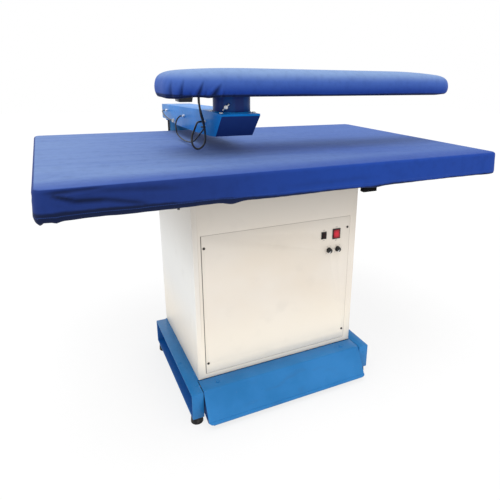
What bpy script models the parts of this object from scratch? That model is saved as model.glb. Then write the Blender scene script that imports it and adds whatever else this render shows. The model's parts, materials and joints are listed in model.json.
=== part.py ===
"""Vacuum ironing table with a swinging buck, built as separate named pieces.

Units are metres and +Z is up. Pieces are drawn in the table's own places: the
zero is on the floor under the middle of the ironing board, X runs along the
board and Y runs to the back. An empty then puts the middle of the whole
object's footprint on the world's zero.
"""

import bpy
import bmesh
from math import atan2, cos, hypot, pi, radians, sin, sqrt
from mathutils import Matrix, Vector
from mathutils.geometry import interpolate_bezier

# Shared sizes
GAP = 0.0003            # clearance between pieces that touch
OVERRUN = 0.004         # how far a cut runs past what it cuts
WELD = 0.00002          # points nearer than this become one after a cut
SHEET = 0.002           # sheet steel wall of the cabinet and the trays
FINE_STEPS = 32         # sides of the large round pieces
ROUND_STEPS = 20        # sides of the middling round pieces
SMALL_STEPS = 12        # sides of the small round pieces
HOLE_STEPS = 8          # sides of screw holes
HEX_SIDES = 6
PLAIN_CORNER_POINTS = 3
SHARP_ANGLE = 35.0      # degrees between faces that meet at a hard edge
MITRE_LIMIT_SHARE = 0.3
CURVE_PARTS = 16
CURVE_HANDLE_SHARE = 1 / 6

# Ironing board
BOARD_LENGTH = 1.516
BOARD_DEPTH = 1.000
BOARD_TOP = 0.880
SKIRT_HEIGHT = 0.076
BOARD_CORNER = 0.026
CLOTH = 0.0024
PAD_THICKNESS = 0.0120
PLATE_THICKNESS = 0.0018
HEM_RETURN = 0.020
HEM_WAVE = 0.0026
HEM_WAVES = 11
HEM_SWAYS = 3
HEM_DROOP = 0.0045
HEM_DROOPS = 5
HEM_DROOP_TURN = 1.1    # radians from the board's right end to the lowest droop
TOP_ROUND = 0.014
TOP_ROUND_SHARE = 0.3   # share of the round edge at its middle row
SKIRT_MIDDLE_SHARE = 0.42
SKIRT_WAVE_SHARES = (0.0, 0.6, 1.0, 0.6, 0.0, 0.0, 0.0)
SIDE_POINTS_LONG = 14
SIDE_POINTS_SHORT = 9
CORNER_POINTS = 5
STIFFENER_PLACE = 0.250
STIFFENER_THICKNESS = 0.004
NOTCH_WIDTH = 0.180
NOTCH_HEIGHT = 0.034
NOTCH_PLACE_SHARES = (-0.6, 0.0, 0.6)
PLATE_HOLE_RADIUS = 0.009
PLATE_HOLE_COLUMNS = 8
PLATE_HOLE_ROWS = 5
HEATER_RADIUS = 0.004
HEATER_RUNS = 4
HEATER_SPREAD = 0.400
HEATER_REACH = 0.600
HEATER_POINT_SHARES = (-1.0, -0.5, 0.0, 0.5, 1.0)
HEATER_BEND_POINTS = 6
THERMOSTAT_X = 0.172
THERMOSTAT_WIDTH = 0.058
THERMOSTAT_DEPTH = 0.060
THERMOSTAT_HEIGHT = 0.0265
THERMOSTAT_SETBACK = 0.022

# Cabinet
BODY_X = -0.038         # the cabinet stands this far off the board's middle
CABINET_WIDTH = 0.620
CABINET_DEPTH = 0.477
CABINET_FRONT = -0.318
CABINET_BASE = 0.124
FRONT_FRAME = 0.006
TOP_FLANGE = 0.030
BASE_FLANGE = 0.022
FLOOR_CLEARANCE = 0.001
PANEL_SIDE_MARGIN = 0.0265
PANEL_LOW = 0.141
PANEL_HIGH = 0.649
PANEL_REBATE = 0.0020
PANEL_LAP = 0.018
PANEL_THICKNESS = 0.0015
PANEL_CORNER = 0.003
PANEL_CLEARANCE = 0.0005
SCREW_INSET_SIDE = 0.0105
SCREW_INSET_TOP = 0.043
SCREW_INSET_LOW = 0.040
SCREW_HEAD_RADIUS = 0.0046
SCREW_HEAD_HEIGHT = 0.0022
SCREW_SHANK_RADIUS = 0.0020
SCREW_HOLE_RADIUS = 0.0026
SCREW_LENGTH = 0.012

# Base
RAIL_SIDE_REACH = 0.045     # past the cabinet's side
RAIL_FRONT_REACH = 0.072    # ahead of the cabinet's front
RAIL_REAR_SETBACK = 0.006   # short of the cabinet's back
RAIL_WIDTH = 0.040
RAIL_LOW = 0.028
RAIL_WALL = 0.0035
FOOT_RADIUS = 0.0215
FOOT_CHAMFER = 0.0020
FOOT_FRONT_INSET = 0.024
FOOT_REAR_INSET = 0.034
CROSS_BAR_HEIGHT = 0.030
CROSS_BAR_DEPTH = 0.040
CROSS_FRONT_INSET = 0.028
CROSS_REAR_INSET = 0.049
LUG_THICKNESS = 0.006
LUG_DEPTH = 0.036
LUG_DROP = 0.052
LUG_CLEARANCE = 0.0010
LUG_BORE_CLEARANCE = 0.0006

# Pedal
PEDAL_SIDE_PROUD = 0.0025   # past the cabinet's side
PEDAL_SETBACK = 0.0035      # ahead of the cabinet's front
PEDAL_TOP_DEPTH = 0.0605
PEDAL_SLOPE_DEPTH = 0.058
PEDAL_TOE_HEIGHT = 0.026
PEDAL_LIP_DEPTH = 0.012
PEDAL_LIP_LOW = 0.0155
PEDAL_SHEET = 0.0030
PEDAL_SHAFT_HEIGHT = 0.066
PEDAL_SHAFT_RADIUS = 0.0110
PEDAL_SHAFT_REACH = 0.020
PEDAL_ARM_WIDTH = 0.024
PEDAL_ARM_HEIGHT = 0.028
PEDAL_ARM_LOW = 0.052
PEDAL_ARM_KNEE_DEPTH = 0.0095
PEDAL_ARM_NOSE = 0.010
PEDAL_ARM_STEP = 0.006
PEDAL_ARM_TAIL = 0.016
PEDAL_TIE_AHEAD = 0.270     # ahead of the pedal's shaft
PEDAL_TIE_DEPTH = 0.030
PEDAL_TIE_INSET = 0.005
PEDAL_BOLT_INSET = 0.058    # in from the cabinet's side
PEDAL_BOLT_AHEAD = 0.0285   # ahead of the pedal's back edge
PEDAL_BOLT_DEPTH = 0.018
BOLT_HEAD_RADIUS = 0.0075
BOLT_HEAD_HEIGHT = 0.0050
BOLT_SHANK_RADIUS = 0.0040
BOLT_HOLE_RADIUS = 0.0048
SPRING_WIRE = 0.0030
SPRING_RADIUS = 0.0175
SPRING_TURNS = 5
SPRING_PITCH = 0.0042
SPRING_TURN_POINTS = 12
SPRING_OFFSET = 0.004

# Foot switch under the left pedal arm
SWITCH_AHEAD = 0.160        # ahead of the pedal's shaft
SWITCH_WIDTH = 0.016
SWITCH_DEPTH = 0.034
SWITCH_LOW = 0.033
SWITCH_HEIGHT = 0.014
PLUNGER_RADIUS = 0.0030
PLUNGER_DEPTH = 0.009
PLUNGER_STROKE = 0.0040

# Controls on the front panel, placed from its right edge and its top
POWER_INSET = 0.058
POWER_DROP = 0.0625
POWER_WIDTH = 0.033
POWER_HEIGHT = 0.039
SWITCH_SPACING = 0.053
SMALL_WIDTH = 0.021
SMALL_HEIGHT = 0.027
BEZEL_FLANGE = 0.0022
BEZEL_RIM = 0.0040
BEZEL_WALL = 0.0016
BEZEL_BODY_DEPTH = 0.018
ROCKER_CLEARANCE = 0.0007
ROCKER_THICKNESS = 0.0070
ROCKER_TILT = 8.0           # degrees from the bezel's plane
ROCKER_DISH_SHARE = 0.10
ROCKER_PIVOT_PROUD = 0.0010
KNOB_LEFT_OFFSET = 0.0285   # left of the power switch
KNOB_SPACING = 0.037
KNOB_DROP = 0.0605          # under the switches
KNOB_RADIUS = 0.0105
KNOB_DEPTH = 0.0130
KNOB_SKIRT = 0.0030
KNOB_NECK_SHARE = 0.84
KNOB_TOP_SHARE = 0.74
KNOB_SHAFT_RADIUS = 0.0030
KNOB_SHAFT_HOLE = 0.0036
KNOB_SHAFT_BITE = 0.006
KNOB_POINTER_WIDTH = 0.0030
CONTROL_BOX_WIDTH = 0.130
CONTROL_BOX_HEIGHT = 0.145
CONTROL_BOX_DEPTH = 0.070
CONTROL_BOX_SETBACK = 0.028
CONTROL_BOX_OFFSET = 0.0345     # left of the power switch
CONTROL_BOX_DROP = 0.0265       # under the switches
STANDOFF_RADIUS = 0.0045
STANDOFF_INSET = 0.010

# Suction blower
BLOWER_SETBACK = 0.238      # behind the cabinet's front
MOTOR_RADIUS = 0.082
MOTOR_FOOT_RADIUS = 0.100
MOTOR_FOOT_HEIGHT = 0.008
MOTOR_TOP = 0.3660
MOTOR_NECK_RADIUS = 0.060
MOTOR_SHOULDER = 0.012
MOTOR_BORE_DEPTH = 0.060
SHAFT_RADIUS = 0.0090
SHAFT_HOLE_RADIUS = 0.0098
HOUSING_RADIUS = 0.170
HOUSING_HEIGHT = 0.118
HOUSING_EYE_RADIUS = 0.072
HOUSING_SHAFT_HOLE = 0.048
OUTLET_WIDTH = 0.090
OUTLET_HEIGHT = 0.086
OUTLET_REACH = 0.150        # behind the blower's axis
IMPELLER_RADIUS = 0.142
IMPELLER_LIFT = 0.0197      # over the housing's underside
IMPELLER_HEIGHT = 0.062
IMPELLER_DISC = 0.003
IMPELLER_EYE = 0.078
IMPELLER_BLADES = 10
BLADE_THICKNESS = 0.003
BLADE_LEAN = 35.0           # degrees from the spoke
HUB_RADIUS = 0.022
HUB_HEIGHT_SHARE = 0.60
BORE_FIT = 0.0004
DUCT_RADIUS = 0.0775
DUCT_COLLAR = 0.092
COLLAR_THICKNESS = 0.004
BRANCH_WIDTH = 0.090
BRANCH_HEIGHT = 0.086
BRANCH_RUN = 0.050
EXHAUST_PROUD = 0.020
EXHAUST_RIM = 0.012
GLAND_INSET = 0.072         # in from the cabinet's right side
GLAND_Z = 0.200
GLAND_RADIUS = 0.013
GLAND_NUT_RADIUS = 0.016
GLAND_BORE = 0.005
GLAND_LENGTH = 0.026

# Post that carries the swinging arm
POST_X = -0.146
POST_BEHIND = 0.056         # behind the board's back edge
POST_RISE = 0.0415          # over the board's top
POST_RADIUS = 0.0475
POST_WALL = 0.0035
SUPPORT_WIDTH = 0.100
SUPPORT_DROP = 0.1264       # under the cabinet's top
SUPPORT_HEIGHT = 0.098
SUPPORT_WALL = 0.003
SUPPORT_SETBACK = 0.002
FLANGE_MARGIN = 0.036
FLANGE_THICKNESS = 0.005
FLANGE_TOP_DROP = 0.010
GUSSET_THICKNESS = 0.008
GUSSET_DROP = 0.170
GUSSET_REACH = 0.300
BUSH_FLANGE = 0.0060
BUSH_CLEARANCE = 0.0005
PIVOT_TUBE_RADIUS = 0.0395
PIVOT_TUBE_WALL = 0.0035
PIVOT_TUBE_LIFT = 0.012     # over the support's top

# Swinging arm, with heights over the post's top
ARM_WIDTH = 0.132
ARM_NOSE_RISE = 0.092
ARM_REAR_RISE = 0.0695
ARM_REAR_CLEARANCE = 0.007
ARM_TOE_RISE = 0.0175
ARM_NOSE_AHEAD = 0.088      # ahead of the buck's seat
ARM_TOE_AHEAD = 0.020
ARM_SEAT_RUN = 0.080        # behind the buck's seat
ARM_REAR_RUN = 0.050        # behind the post's axis
ARM_WALL = 0.0025
GLAND_NUT = 0.0070
GLAND_DOME_SHARE = 0.80
SIDE_GLAND_LENGTH = 0.0120
REAR_GLAND_AHEAD = 0.056    # ahead of the post's axis
MIDDLE_GLAND_BEHIND = 0.361  # behind the buck's seat
FRONT_GLAND_BEHIND = 0.087
GLAND_RISE = 0.0485
FRONT_GLAND_RISE = 0.0535

# Turning seat of the buck, with heights over the arm's nose
SEAT_X = -0.146
SEAT_Y = -0.150
SEAT_RADIUS = 0.060
SPIGOT_RADIUS = 0.0505
SPIGOT_WALL = 0.004
SPIGOT_RISE = 0.0465
SEAT_FLANGE = 0.0035
SOCKET_CLEARANCE = 0.0006
LEVER_DIRECTION = 235.0     # degrees from the board's right end
LEVER_RISE = 0.0195
LEVER_HUB_RADIUS = 0.0065
LEVER_HUB_LENGTH = 0.010
LEVER_BAR_RADIUS = 0.0034
LEVER_BAR_LENGTH = 0.030
LEVER_TURN = 45.0           # degrees off level

# Buck
BUCK_LEFT_REACH = 0.2385    # left of its seat
BUCK_LENGTH = 1.1755
BUCK_RISE = 0.0545          # over the arm's nose
BUCK_THICKNESS = 0.086
BUCK_HALF_WIDE = 0.124
BUCK_HALF_TIP = 0.074
BUCK_CORNER = 0.075
BUCK_SIDE_BOW = 0.002
BUCK_END_FALL = 0.017
BUCK_END_LENGTH = 0.300
BUCK_TRAY_DEPTH = 0.046
BUCK_TIP_POINTS = 9
BUCK_SIDE_POINTS = 11
BUCK_CORNER_POINTS = 5
BUCK_INSET = 0.0045
BUCK_HEM_RETURN = 0.022
BUCK_SIDE_RISE_SHARES = (0.14, 0.42)
BUCK_CROWN_INSET_SHARES = (1.0, 3.5, 7.5, 12.5)
BUCK_CROWN_RISE_SHARES = (0.70, 0.88, 0.97, 1.0)
BUCK_GATHER_SHARES = (0.3, 0.6, 0.5, 0.2, 0.0, 0.0, 0.0, 0.0)
PAD_EDGE = 0.012
PAD_INSET_SHARES = (1.0, 1.7, 2.8, 4.7)
PAD_SINK = 0.0018
GATHER_DEPTH = 0.0035
GATHER_PLACE_SHARES = (0.0386, 0.0796, 0.1165, 0.1575)
GATHER_WIDTH = 0.014
BUCK_PLATE_HOLES = 9
TERMINAL_LEFT_REACH = 0.187     # left of the buck's seat
TERMINAL_LENGTH = 0.0605
TERMINAL_AHEAD = 0.042          # ahead of the buck's seat
TERMINAL_DEPTH = 0.068
TERMINAL_HEIGHT = 0.0285
TERMINAL_TAPER = 0.005
BUCK_GLAND_REACH = 0.1135       # left of the buck's seat
BUCK_GLAND_AHEAD = 0.0032
BUCK_GLAND_RADIUS = 0.0098
BUCK_GLAND_LENGTH = 0.0085

# Cables
CABLE_RADIUS = 0.0027
CABLE_SPACING = 0.0031
CABLE_RUN_OUT = 0.006
CABLE_STEP_SHARE = 4.6
FEED_RADIUS = 0.0042
FEED_LEFT = 0.0565          # left of the post's axis
FEED_AHEAD = 0.004
FEED_ENTRY_DROP = 0.1715    # under the post's top
FEED_ENTRY_WALL = 0.004
FEED_ENTRY_HEIGHT = 0.036
CLIP_AHEAD = 0.171          # ahead of the post's axis
CLIP_WIDTH = 0.008
CLIP_HEIGHT = 0.014
CLIP_DEPTH = 0.009
CLIP_LEAD_OUT = 0.0048      # from the arm's side to the lead's middle
CLIP_RISE = 0.0145

# Where the leads hang, as (right, back, up) from the arm's left side, the buck's seat and the post's top
HEATER_POINTS = (
    (-0.0475, -0.0063, 0.1235), (-0.0425, -0.0030, 0.0885), (-0.0330, 0.0025, 0.0565),
    (-0.0270, 0.0060, 0.0265), (-0.0280, 0.0100, -0.0065), (-0.0400, 0.0150, -0.0245),
    (-0.0545, 0.0200, -0.0285), (-0.0655, 0.0270, -0.0145), (-0.0640, 0.0350, 0.0105),
    (-0.0520, 0.0460, 0.0315), (-0.0400, 0.0640, 0.0450), (-0.0300, 0.0800, 0.0520),
)
SENSOR_POINTS = (
    (-0.0475, -0.0001, 0.1235), (-0.0420, 0.0035, 0.0885), (-0.0315, 0.0105, 0.0545),
    (-0.0275, 0.0240, 0.0345), (-0.0320, 0.0520, 0.0165), (-0.0350, 0.1000, -0.0095),
    (-0.0340, 0.1600, -0.0255), (-0.0320, 0.2300, -0.0325), (-0.0320, 0.3000, -0.0315),
    (-0.0340, 0.3550, -0.0195), (-0.0350, 0.3820, 0.0035), (-0.0340, 0.3870, 0.0265),
    (-0.0290, 0.3760, 0.0435),
)
# The short lead is given from the post's axis instead of the buck's seat
SHORT_POINTS = (
    (-0.0250, -0.0680, 0.0445), (-0.0230, -0.1010, 0.0295), (-0.0120, -0.1410, 0.0170),
)

# Colours, read by eye from the photograph, as linear values
BLUE_CLOTH = (0.035, 0.085, 0.400)
BLUE_PAINT = (0.035, 0.200, 0.520)
CREAM_PAINT = (0.840, 0.780, 0.700)
BLACK_PLASTIC = (0.012, 0.012, 0.013)
RED_PLASTIC = (0.550, 0.015, 0.020)
BARE_STEEL = (0.500, 0.500, 0.500)
ZINC = (0.620, 0.620, 0.600)
FELT = (0.620, 0.600, 0.540)
NYLON = (0.800, 0.790, 0.740)
BLACK_RUBBER = (0.015, 0.015, 0.015)
COPPER_TUBE = (0.450, 0.260, 0.180)
GREY_CABLE = (0.420, 0.420, 0.430)

# Places worked out from the sizes above
BOARD_HALF_X = BOARD_LENGTH / 2
BOARD_HALF_Y = BOARD_DEPTH / 2
HEM_Z = BOARD_TOP - SKIRT_HEIGHT
PAD_TOP = BOARD_TOP - CLOTH - GAP
PAD_LOW = PAD_TOP - PAD_THICKNESS
PLATE_TOP = PAD_LOW - GAP
PLATE_LOW = PLATE_TOP - PLATE_THICKNESS
TRAY_TOP = PLATE_LOW - GAP
TRAY_LOW = HEM_Z + CLOTH + GAP
INNER_HALF_X = BOARD_HALF_X - CLOTH - HEM_WAVE - GAP
INNER_HALF_Y = BOARD_HALF_Y - CLOTH - HEM_WAVE - GAP
CABINET_BACK = CABINET_FRONT + CABINET_DEPTH
CABINET_TOP = TRAY_LOW - GAP
CABINET_FOOT = CABINET_BASE + GAP
CABINET_HALF = CABINET_WIDTH / 2
RAIL_HALF_SPAN = CABINET_HALF + RAIL_SIDE_REACH
RAIL_INNER_HALF = RAIL_HALF_SPAN - RAIL_WIDTH
RAIL_FRONT = CABINET_FRONT - RAIL_FRONT_REACH
RAIL_REAR = CABINET_BACK - RAIL_REAR_SETBACK
RAIL_TOP = CABINET_BASE
CROSS_FRONT = CABINET_FRONT + CROSS_FRONT_INSET
CROSS_REAR = CABINET_BACK - CROSS_REAR_INSET
PEDAL_HALF = CABINET_HALF + PEDAL_SIDE_PROUD
PEDAL_REAR = CABINET_FRONT - PEDAL_SETBACK
PEDAL_BEND = PEDAL_REAR - PEDAL_TOP_DEPTH
PEDAL_TOE = PEDAL_BEND - PEDAL_SLOPE_DEPTH
PEDAL_ARM_KNEE = PEDAL_REAR + PEDAL_ARM_KNEE_DEPTH
PEDAL_BOLT_LEFT = BODY_X - CABINET_HALF + PEDAL_BOLT_INSET
PEDAL_BOLT_RIGHT = BODY_X + CABINET_HALF - PEDAL_BOLT_INSET
PEDAL_BOLT_Y = PEDAL_REAR - PEDAL_BOLT_AHEAD
PEDAL_TIE_Y = CROSS_REAR - PEDAL_TIE_AHEAD
SWITCH_Y = CROSS_REAR - SWITCH_AHEAD
PANEL_HALF = CABINET_HALF - PANEL_SIDE_MARGIN
PANEL_FACE = CABINET_FRONT + PANEL_REBATE - GAP - PANEL_THICKNESS
PANEL_BACK = PANEL_FACE + PANEL_THICKNESS
POWER_X = BODY_X + PANEL_HALF - POWER_INSET
SMALL_X = POWER_X - SWITCH_SPACING
SWITCHES_Z = PANEL_HIGH - POWER_DROP
KNOB_LEFT_X = POWER_X - KNOB_LEFT_OFFSET
KNOB_RIGHT_X = KNOB_LEFT_X + KNOB_SPACING
KNOB_Z = SWITCHES_Z - KNOB_DROP
CONTROL_BOX_X = POWER_X - CONTROL_BOX_OFFSET
CONTROL_BOX_Z = SWITCHES_Z - CONTROL_BOX_DROP
BLOWER_X = BODY_X
BLOWER_Y = CABINET_FRONT + BLOWER_SETBACK
OUTLET_END = BLOWER_Y + OUTLET_REACH
HOUSING_LOW = MOTOR_TOP + GAP
HOUSING_TOP = HOUSING_LOW + HOUSING_HEIGHT
IMPELLER_LOW = HOUSING_LOW + IMPELLER_LIFT
DUCT_LOW = HOUSING_TOP + GAP
GLAND_X = BODY_X + CABINET_HALF - GLAND_INSET
POST_Y = BOARD_HALF_Y + POST_BEHIND
POST_TOP = BOARD_TOP + POST_RISE
SUPPORT_LOW = CABINET_TOP - SUPPORT_DROP
BRANCH_LOW = SUPPORT_LOW + (SUPPORT_HEIGHT - BRANCH_HEIGHT) / 2
PIVOT_TUBE_LOW = SUPPORT_LOW + SUPPORT_HEIGHT + PIVOT_TUBE_LIFT
THRUST_Z = POST_TOP + GAP + BUSH_FLANGE
ARM_LEFT = POST_X - ARM_WIDTH / 2
ARM_RIGHT = POST_X + ARM_WIDTH / 2
ARM_NOSE = SEAT_Y - ARM_NOSE_AHEAD
ARM_NOSE_TOE = SEAT_Y - ARM_TOE_AHEAD
ARM_SEAT_END = SEAT_Y + ARM_SEAT_RUN
ARM_REAR = POST_Y + ARM_REAR_RUN
ARM_NOSE_TOP = POST_TOP + ARM_NOSE_RISE
ARM_NOSE_LOW = POST_TOP + ARM_TOE_RISE
ARM_REAR_TOP = POST_TOP + ARM_REAR_RISE
ARM_REAR_LOW = POST_TOP + ARM_REAR_CLEARANCE
SOCKET_LOW = ARM_NOSE_TOP + SEAT_FLANGE + GAP
SPIGOT_TOP = ARM_NOSE_TOP + SPIGOT_RISE
LEVER_HEIGHT = ARM_NOSE_TOP + LEVER_RISE
BUCK_Y = SEAT_Y
BUCK_LEFT = SEAT_X - BUCK_LEFT_REACH
BUCK_TIP = BUCK_LEFT + BUCK_LENGTH
BUCK_LOW = ARM_NOSE_TOP + BUCK_RISE
BUCK_TRAY_LOW = BUCK_LOW + CLOTH + GAP
BUCK_TRAY_TOP = BUCK_TRAY_LOW + BUCK_TRAY_DEPTH
BUCK_PLATE_TOP = BUCK_TRAY_TOP + GAP + PLATE_THICKNESS
TERMINAL_LEFT = SEAT_X - TERMINAL_LEFT_REACH
TERMINAL_RIGHT = TERMINAL_LEFT + TERMINAL_LENGTH
TERMINAL_FRONT = SEAT_Y - TERMINAL_AHEAD
TERMINAL_BACK = TERMINAL_FRONT + TERMINAL_DEPTH
BUCK_GLAND_X = SEAT_X - BUCK_GLAND_REACH
BUCK_GLAND_Y = SEAT_Y - BUCK_GLAND_AHEAD
FEED_X = POST_X - FEED_LEFT
FEED_Y = POST_Y - FEED_AHEAD
FEED_ENTRY_Z = POST_TOP - FEED_ENTRY_DROP
CLIP_Y = POST_Y - CLIP_AHEAD
CLIP_Z = POST_TOP + CLIP_RISE
CENTRE_X = (max(BUCK_TIP, BOARD_HALF_X) - BOARD_HALF_X) / 2
CENTRE_Y = (ARM_REAR - BOARD_HALF_Y) / 2


# Making and joining solids

def paint(name, colour, roughness, metallic=0.0):
    """Return a plain coated or moulded finish."""
    finish = bpy.data.materials.new(name)
    finish.use_nodes = True
    shader = finish.node_tree.nodes["Principled BSDF"]
    shader.inputs["Base Color"].default_value = (*colour, 1.0)
    shader.inputs["Roughness"].default_value = roughness
    shader.inputs["Metallic"].default_value = metallic
    finish.diffuse_color = (*colour, 1.0)
    return finish


def solid(name, bm):
    """Turn a closed bmesh into an object with its faces pointing out."""
    bmesh.ops.recalc_face_normals(bm, faces=bm.faces)
    mesh = bpy.data.meshes.new(name)
    bm.to_mesh(mesh)
    bm.free()
    piece = bpy.data.objects.new(name, mesh)
    bpy.context.scene.collection.objects.link(piece)
    return piece


def box(name, low, high):
    """A block between two opposite corners."""
    low, high = Vector(low), Vector(high)
    bm = bmesh.new()
    bmesh.ops.create_cube(bm, size=1.0)
    for vert in bm.verts:
        vert.co = Vector([(a + b) / 2 + (b - a) * c for a, b, c in zip(low, high, vert.co)])
    return solid(name, bm)


def prism(name, outline, start, end, axis="Z"):
    """Extrude a closed outline along an axis; it is given in the other two."""
    spots = {
        "X": lambda a, b, c: (c, a, b),
        "Y": lambda a, b, c: (a, c, b),
        "Z": lambda a, b, c: (a, b, c),
    }[axis]
    bm = bmesh.new()
    verts = [bm.verts.new(spots(a, b, start)) for a, b in outline]
    face = bm.faces.new(verts)
    grown = bmesh.ops.extrude_face_region(bm, geom=[face])
    moved = [item for item in grown["geom"] if isinstance(item, bmesh.types.BMVert)]
    bmesh.ops.translate(bm, verts=moved, vec=spots(0, 0, end - start))
    return solid(name, bm)


def turned(name, profile, centre, direction=(0, 0, 1), steps=ROUND_STEPS):
    """Spin a closed profile of (radius, height) round an axis through centre."""
    aim = Vector(direction).normalized().to_track_quat("Z", "Y").to_matrix()
    bm = bmesh.new()
    rings = []
    for radius, height in profile:
        if radius == 0:
            rings.append([bm.verts.new(Vector(centre) + aim @ Vector((0, 0, height)))])
            continue
        ring = []
        for step in range(steps):
            turn = 2 * pi * (step + 0.5) / steps
            spot = Vector((radius * cos(turn), radius * sin(turn), height))
            ring.append(bm.verts.new(Vector(centre) + aim @ spot))
        rings.append(ring)
    for one, two in zip(rings, rings[1:] + rings[:1]):
        if len(one) == 1 and len(two) == 1:
            continue
        for step in range(steps):
            after = (step + 1) % steps
            corners = [one[step % len(one)], one[after % len(one)]]
            corners += [two[after % len(two)], two[step % len(two)]]
            bm.faces.new(list(dict.fromkeys(corners)))
    return solid(name, bm)


def rod(name, start, end, radius, steps=SMALL_STEPS):
    """A round bar from one point to another."""
    start, end = Vector(start), Vector(end)
    length = (end - start).length
    return turned(name, [(0, 0), (radius, 0), (radius, length), (0, length)],
                  start, end - start, steps)


def pipe(name, centre, outer, inner, low, high, steps=ROUND_STEPS):
    """An upright open pipe."""
    rim = [(inner, low), (outer, low), (outer, high), (inner, high)]
    return turned(name, rim, (centre[0], centre[1], 0), steps=steps)


def lofted(name, rings, fold=None):
    """Bridge closed rings of points and cap both ends, in strips if the rings fold in half."""
    bm = bmesh.new()
    rows = [[bm.verts.new(spot) for spot in ring] for ring in rings]
    for one, two in zip(rows, rows[1:]):
        for step in range(len(one)):
            after = (step + 1) % len(one)
            bm.faces.new([one[step], one[after], two[after], two[step]])
    for row in (rows[0], rows[-1]):
        if fold is None:
            bm.faces.new(row)
            continue
        for step in range(fold // 2, fold // 2 + len(row) // 2):
            far, farther = (fold - step) % len(row), (fold - step - 1) % len(row)
            corners = [row[step], row[step + 1], row[farther], row[far]]
            bm.faces.new(list(dict.fromkeys(corners)))
    return solid(name, bm)


def apply_boolean(piece, tool, operation):
    """Join a tool to a piece or take it away, and remove the tool."""
    step = piece.modifiers.new(operation.lower(), "BOOLEAN")
    step.operation = operation
    step.solver = "EXACT"
    step.object = tool
    bpy.context.view_layer.update()
    depsgraph = bpy.context.evaluated_depsgraph_get()
    result = bpy.data.meshes.new_from_object(piece.evaluated_get(depsgraph))
    bm = bmesh.new()
    bm.from_mesh(result)
    bmesh.ops.remove_doubles(bm, verts=bm.verts, dist=WELD)
    bmesh.ops.dissolve_degenerate(bm, edges=bm.edges, dist=WELD)
    bm.to_mesh(result)
    bm.free()
    piece.modifiers.clear()
    piece.data = result
    bpy.data.objects.remove(tool)
    return piece


def cut(piece, *tools):
    """Take each tool away from the piece."""
    for tool in tools:
        apply_boolean(piece, tool, "DIFFERENCE")
    return piece


def fuse(piece, *tools):
    """Weld each tool to the piece."""
    for tool in tools:
        apply_boolean(piece, tool, "UNION")
    return piece


def smooth_curve(points, spacing):
    """Points at an even spacing on a smooth curve through the given ones."""
    places = [Vector(point) for point in points]
    places = [2 * places[0] - places[1]] + places + [2 * places[-1] - places[-2]]
    fine = []
    for a, b, c, d in zip(places, places[1:], places[2:], places[3:]):
        leave, arrive = b + (c - a) * CURVE_HANDLE_SHARE, c - (d - b) * CURVE_HANDLE_SHARE
        fine += interpolate_bezier(b, leave, arrive, c, CURVE_PARTS + 1)[:-1]
    fine.append(places[-2])
    lengths = [0.0]
    for one, two in zip(fine, fine[1:]):
        lengths.append(lengths[-1] + (two - one).length)
    count = max(2, round(lengths[-1] / spacing))
    even, index = [], 0
    for step in range(count + 1):
        goal = lengths[-1] * step / count
        while index < len(lengths) - 2 and lengths[index + 1] < goal:
            index += 1
        share = (goal - lengths[index]) / (lengths[index + 1] - lengths[index])
        even.append(fine[index].lerp(fine[index + 1], share))
    return even


def tube(name, points, radius, resolution=2):
    """A round tube with filled ends along a list of points."""
    curve = bpy.data.curves.new(name, "CURVE")
    curve.dimensions = "3D"
    curve.bevel_depth = radius
    curve.bevel_resolution = resolution
    curve.use_fill_caps = True
    spline = curve.splines.new("POLY")
    spline.points.add(len(points) - 1)
    for spot, point in zip(spline.points, points):
        spot.co = (*point, 1.0)
    piece = bpy.data.objects.new(name, curve)
    bpy.context.scene.collection.objects.link(piece)
    return piece


# Outlines

def rounded_rectangle(half_x, half_y, corner, centre=(0, 0), long_points=0,
                      short_points=0, corner_points=CORNER_POINTS):
    """A rectangle with round corners, with extra points along its sides."""
    outline = []
    for quarter, (sign_x, sign_y) in enumerate(((1, 1), (-1, 1), (-1, -1), (1, -1))):
        run_x, run_y = sign_x * (half_x - corner), sign_y * (half_y - corner)
        for point in range(corner_points):
            turn = (quarter + point / (corner_points - 1)) * pi / 2
            outline.append((centre[0] + run_x + corner * cos(turn), centre[1] + run_y + corner * sin(turn)))
        start = Vector(outline[-1])
        run, extra = ((0, -2 * run_y), short_points) if quarter % 2 else ((-2 * run_x, 0), long_points)
        for point in range(1, extra + 1):
            outline.append(tuple(start + Vector(run) * point / (extra + 1)))
    return outline


def buck_outline(inset):
    """The buck's plan, drawn in by an inset: wide at the left, slim at the tip."""
    tip, left = BUCK_TIP - inset, BUCK_LEFT + inset
    tip_radius, wide = BUCK_HALF_TIP - inset, BUCK_HALF_WIDE - inset
    corner = BUCK_CORNER - inset
    outline = []
    for point in range(BUCK_TIP_POINTS):
        turn = -pi / 2 + pi * point / (BUCK_TIP_POINTS - 1)
        outline.append((tip - tip_radius + tip_radius * cos(turn), BUCK_Y + tip_radius * sin(turn)))
    start, finish = outline[-1], (left + corner, BUCK_Y + wide)
    side = []
    for point in range(1, BUCK_SIDE_POINTS + 1):
        share = point / (BUCK_SIDE_POINTS + 1)
        bow = BUCK_SIDE_BOW * 4 * share * (1 - share)
        side.append((start[0] + (finish[0] - start[0]) * share,
                     start[1] + (finish[1] - start[1]) * share + bow))
    outline += side
    for hub_y, first in ((BUCK_Y + wide - corner, pi / 2), (BUCK_Y - wide + corner, pi)):
        for point in range(BUCK_CORNER_POINTS):
            turn = first + pi / 2 * point / (BUCK_CORNER_POINTS - 1)
            outline.append((left + corner + corner * cos(turn), hub_y + corner * sin(turn)))
    outline += [(x, 2 * BUCK_Y - y) for x, y in reversed(side)]
    return outline


def buck_height(x):
    """The cover's height over its hem: it falls away at both ends."""
    near = min(x - BUCK_LEFT, BUCK_TIP - x)
    fall = max(0.0, 1 - near / BUCK_END_LENGTH)
    return BUCK_THICKNESS - BUCK_END_FALL * fall ** 2


# Placing, and the axes of what moves

FINISHES = {}
AXES = {}


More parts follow.
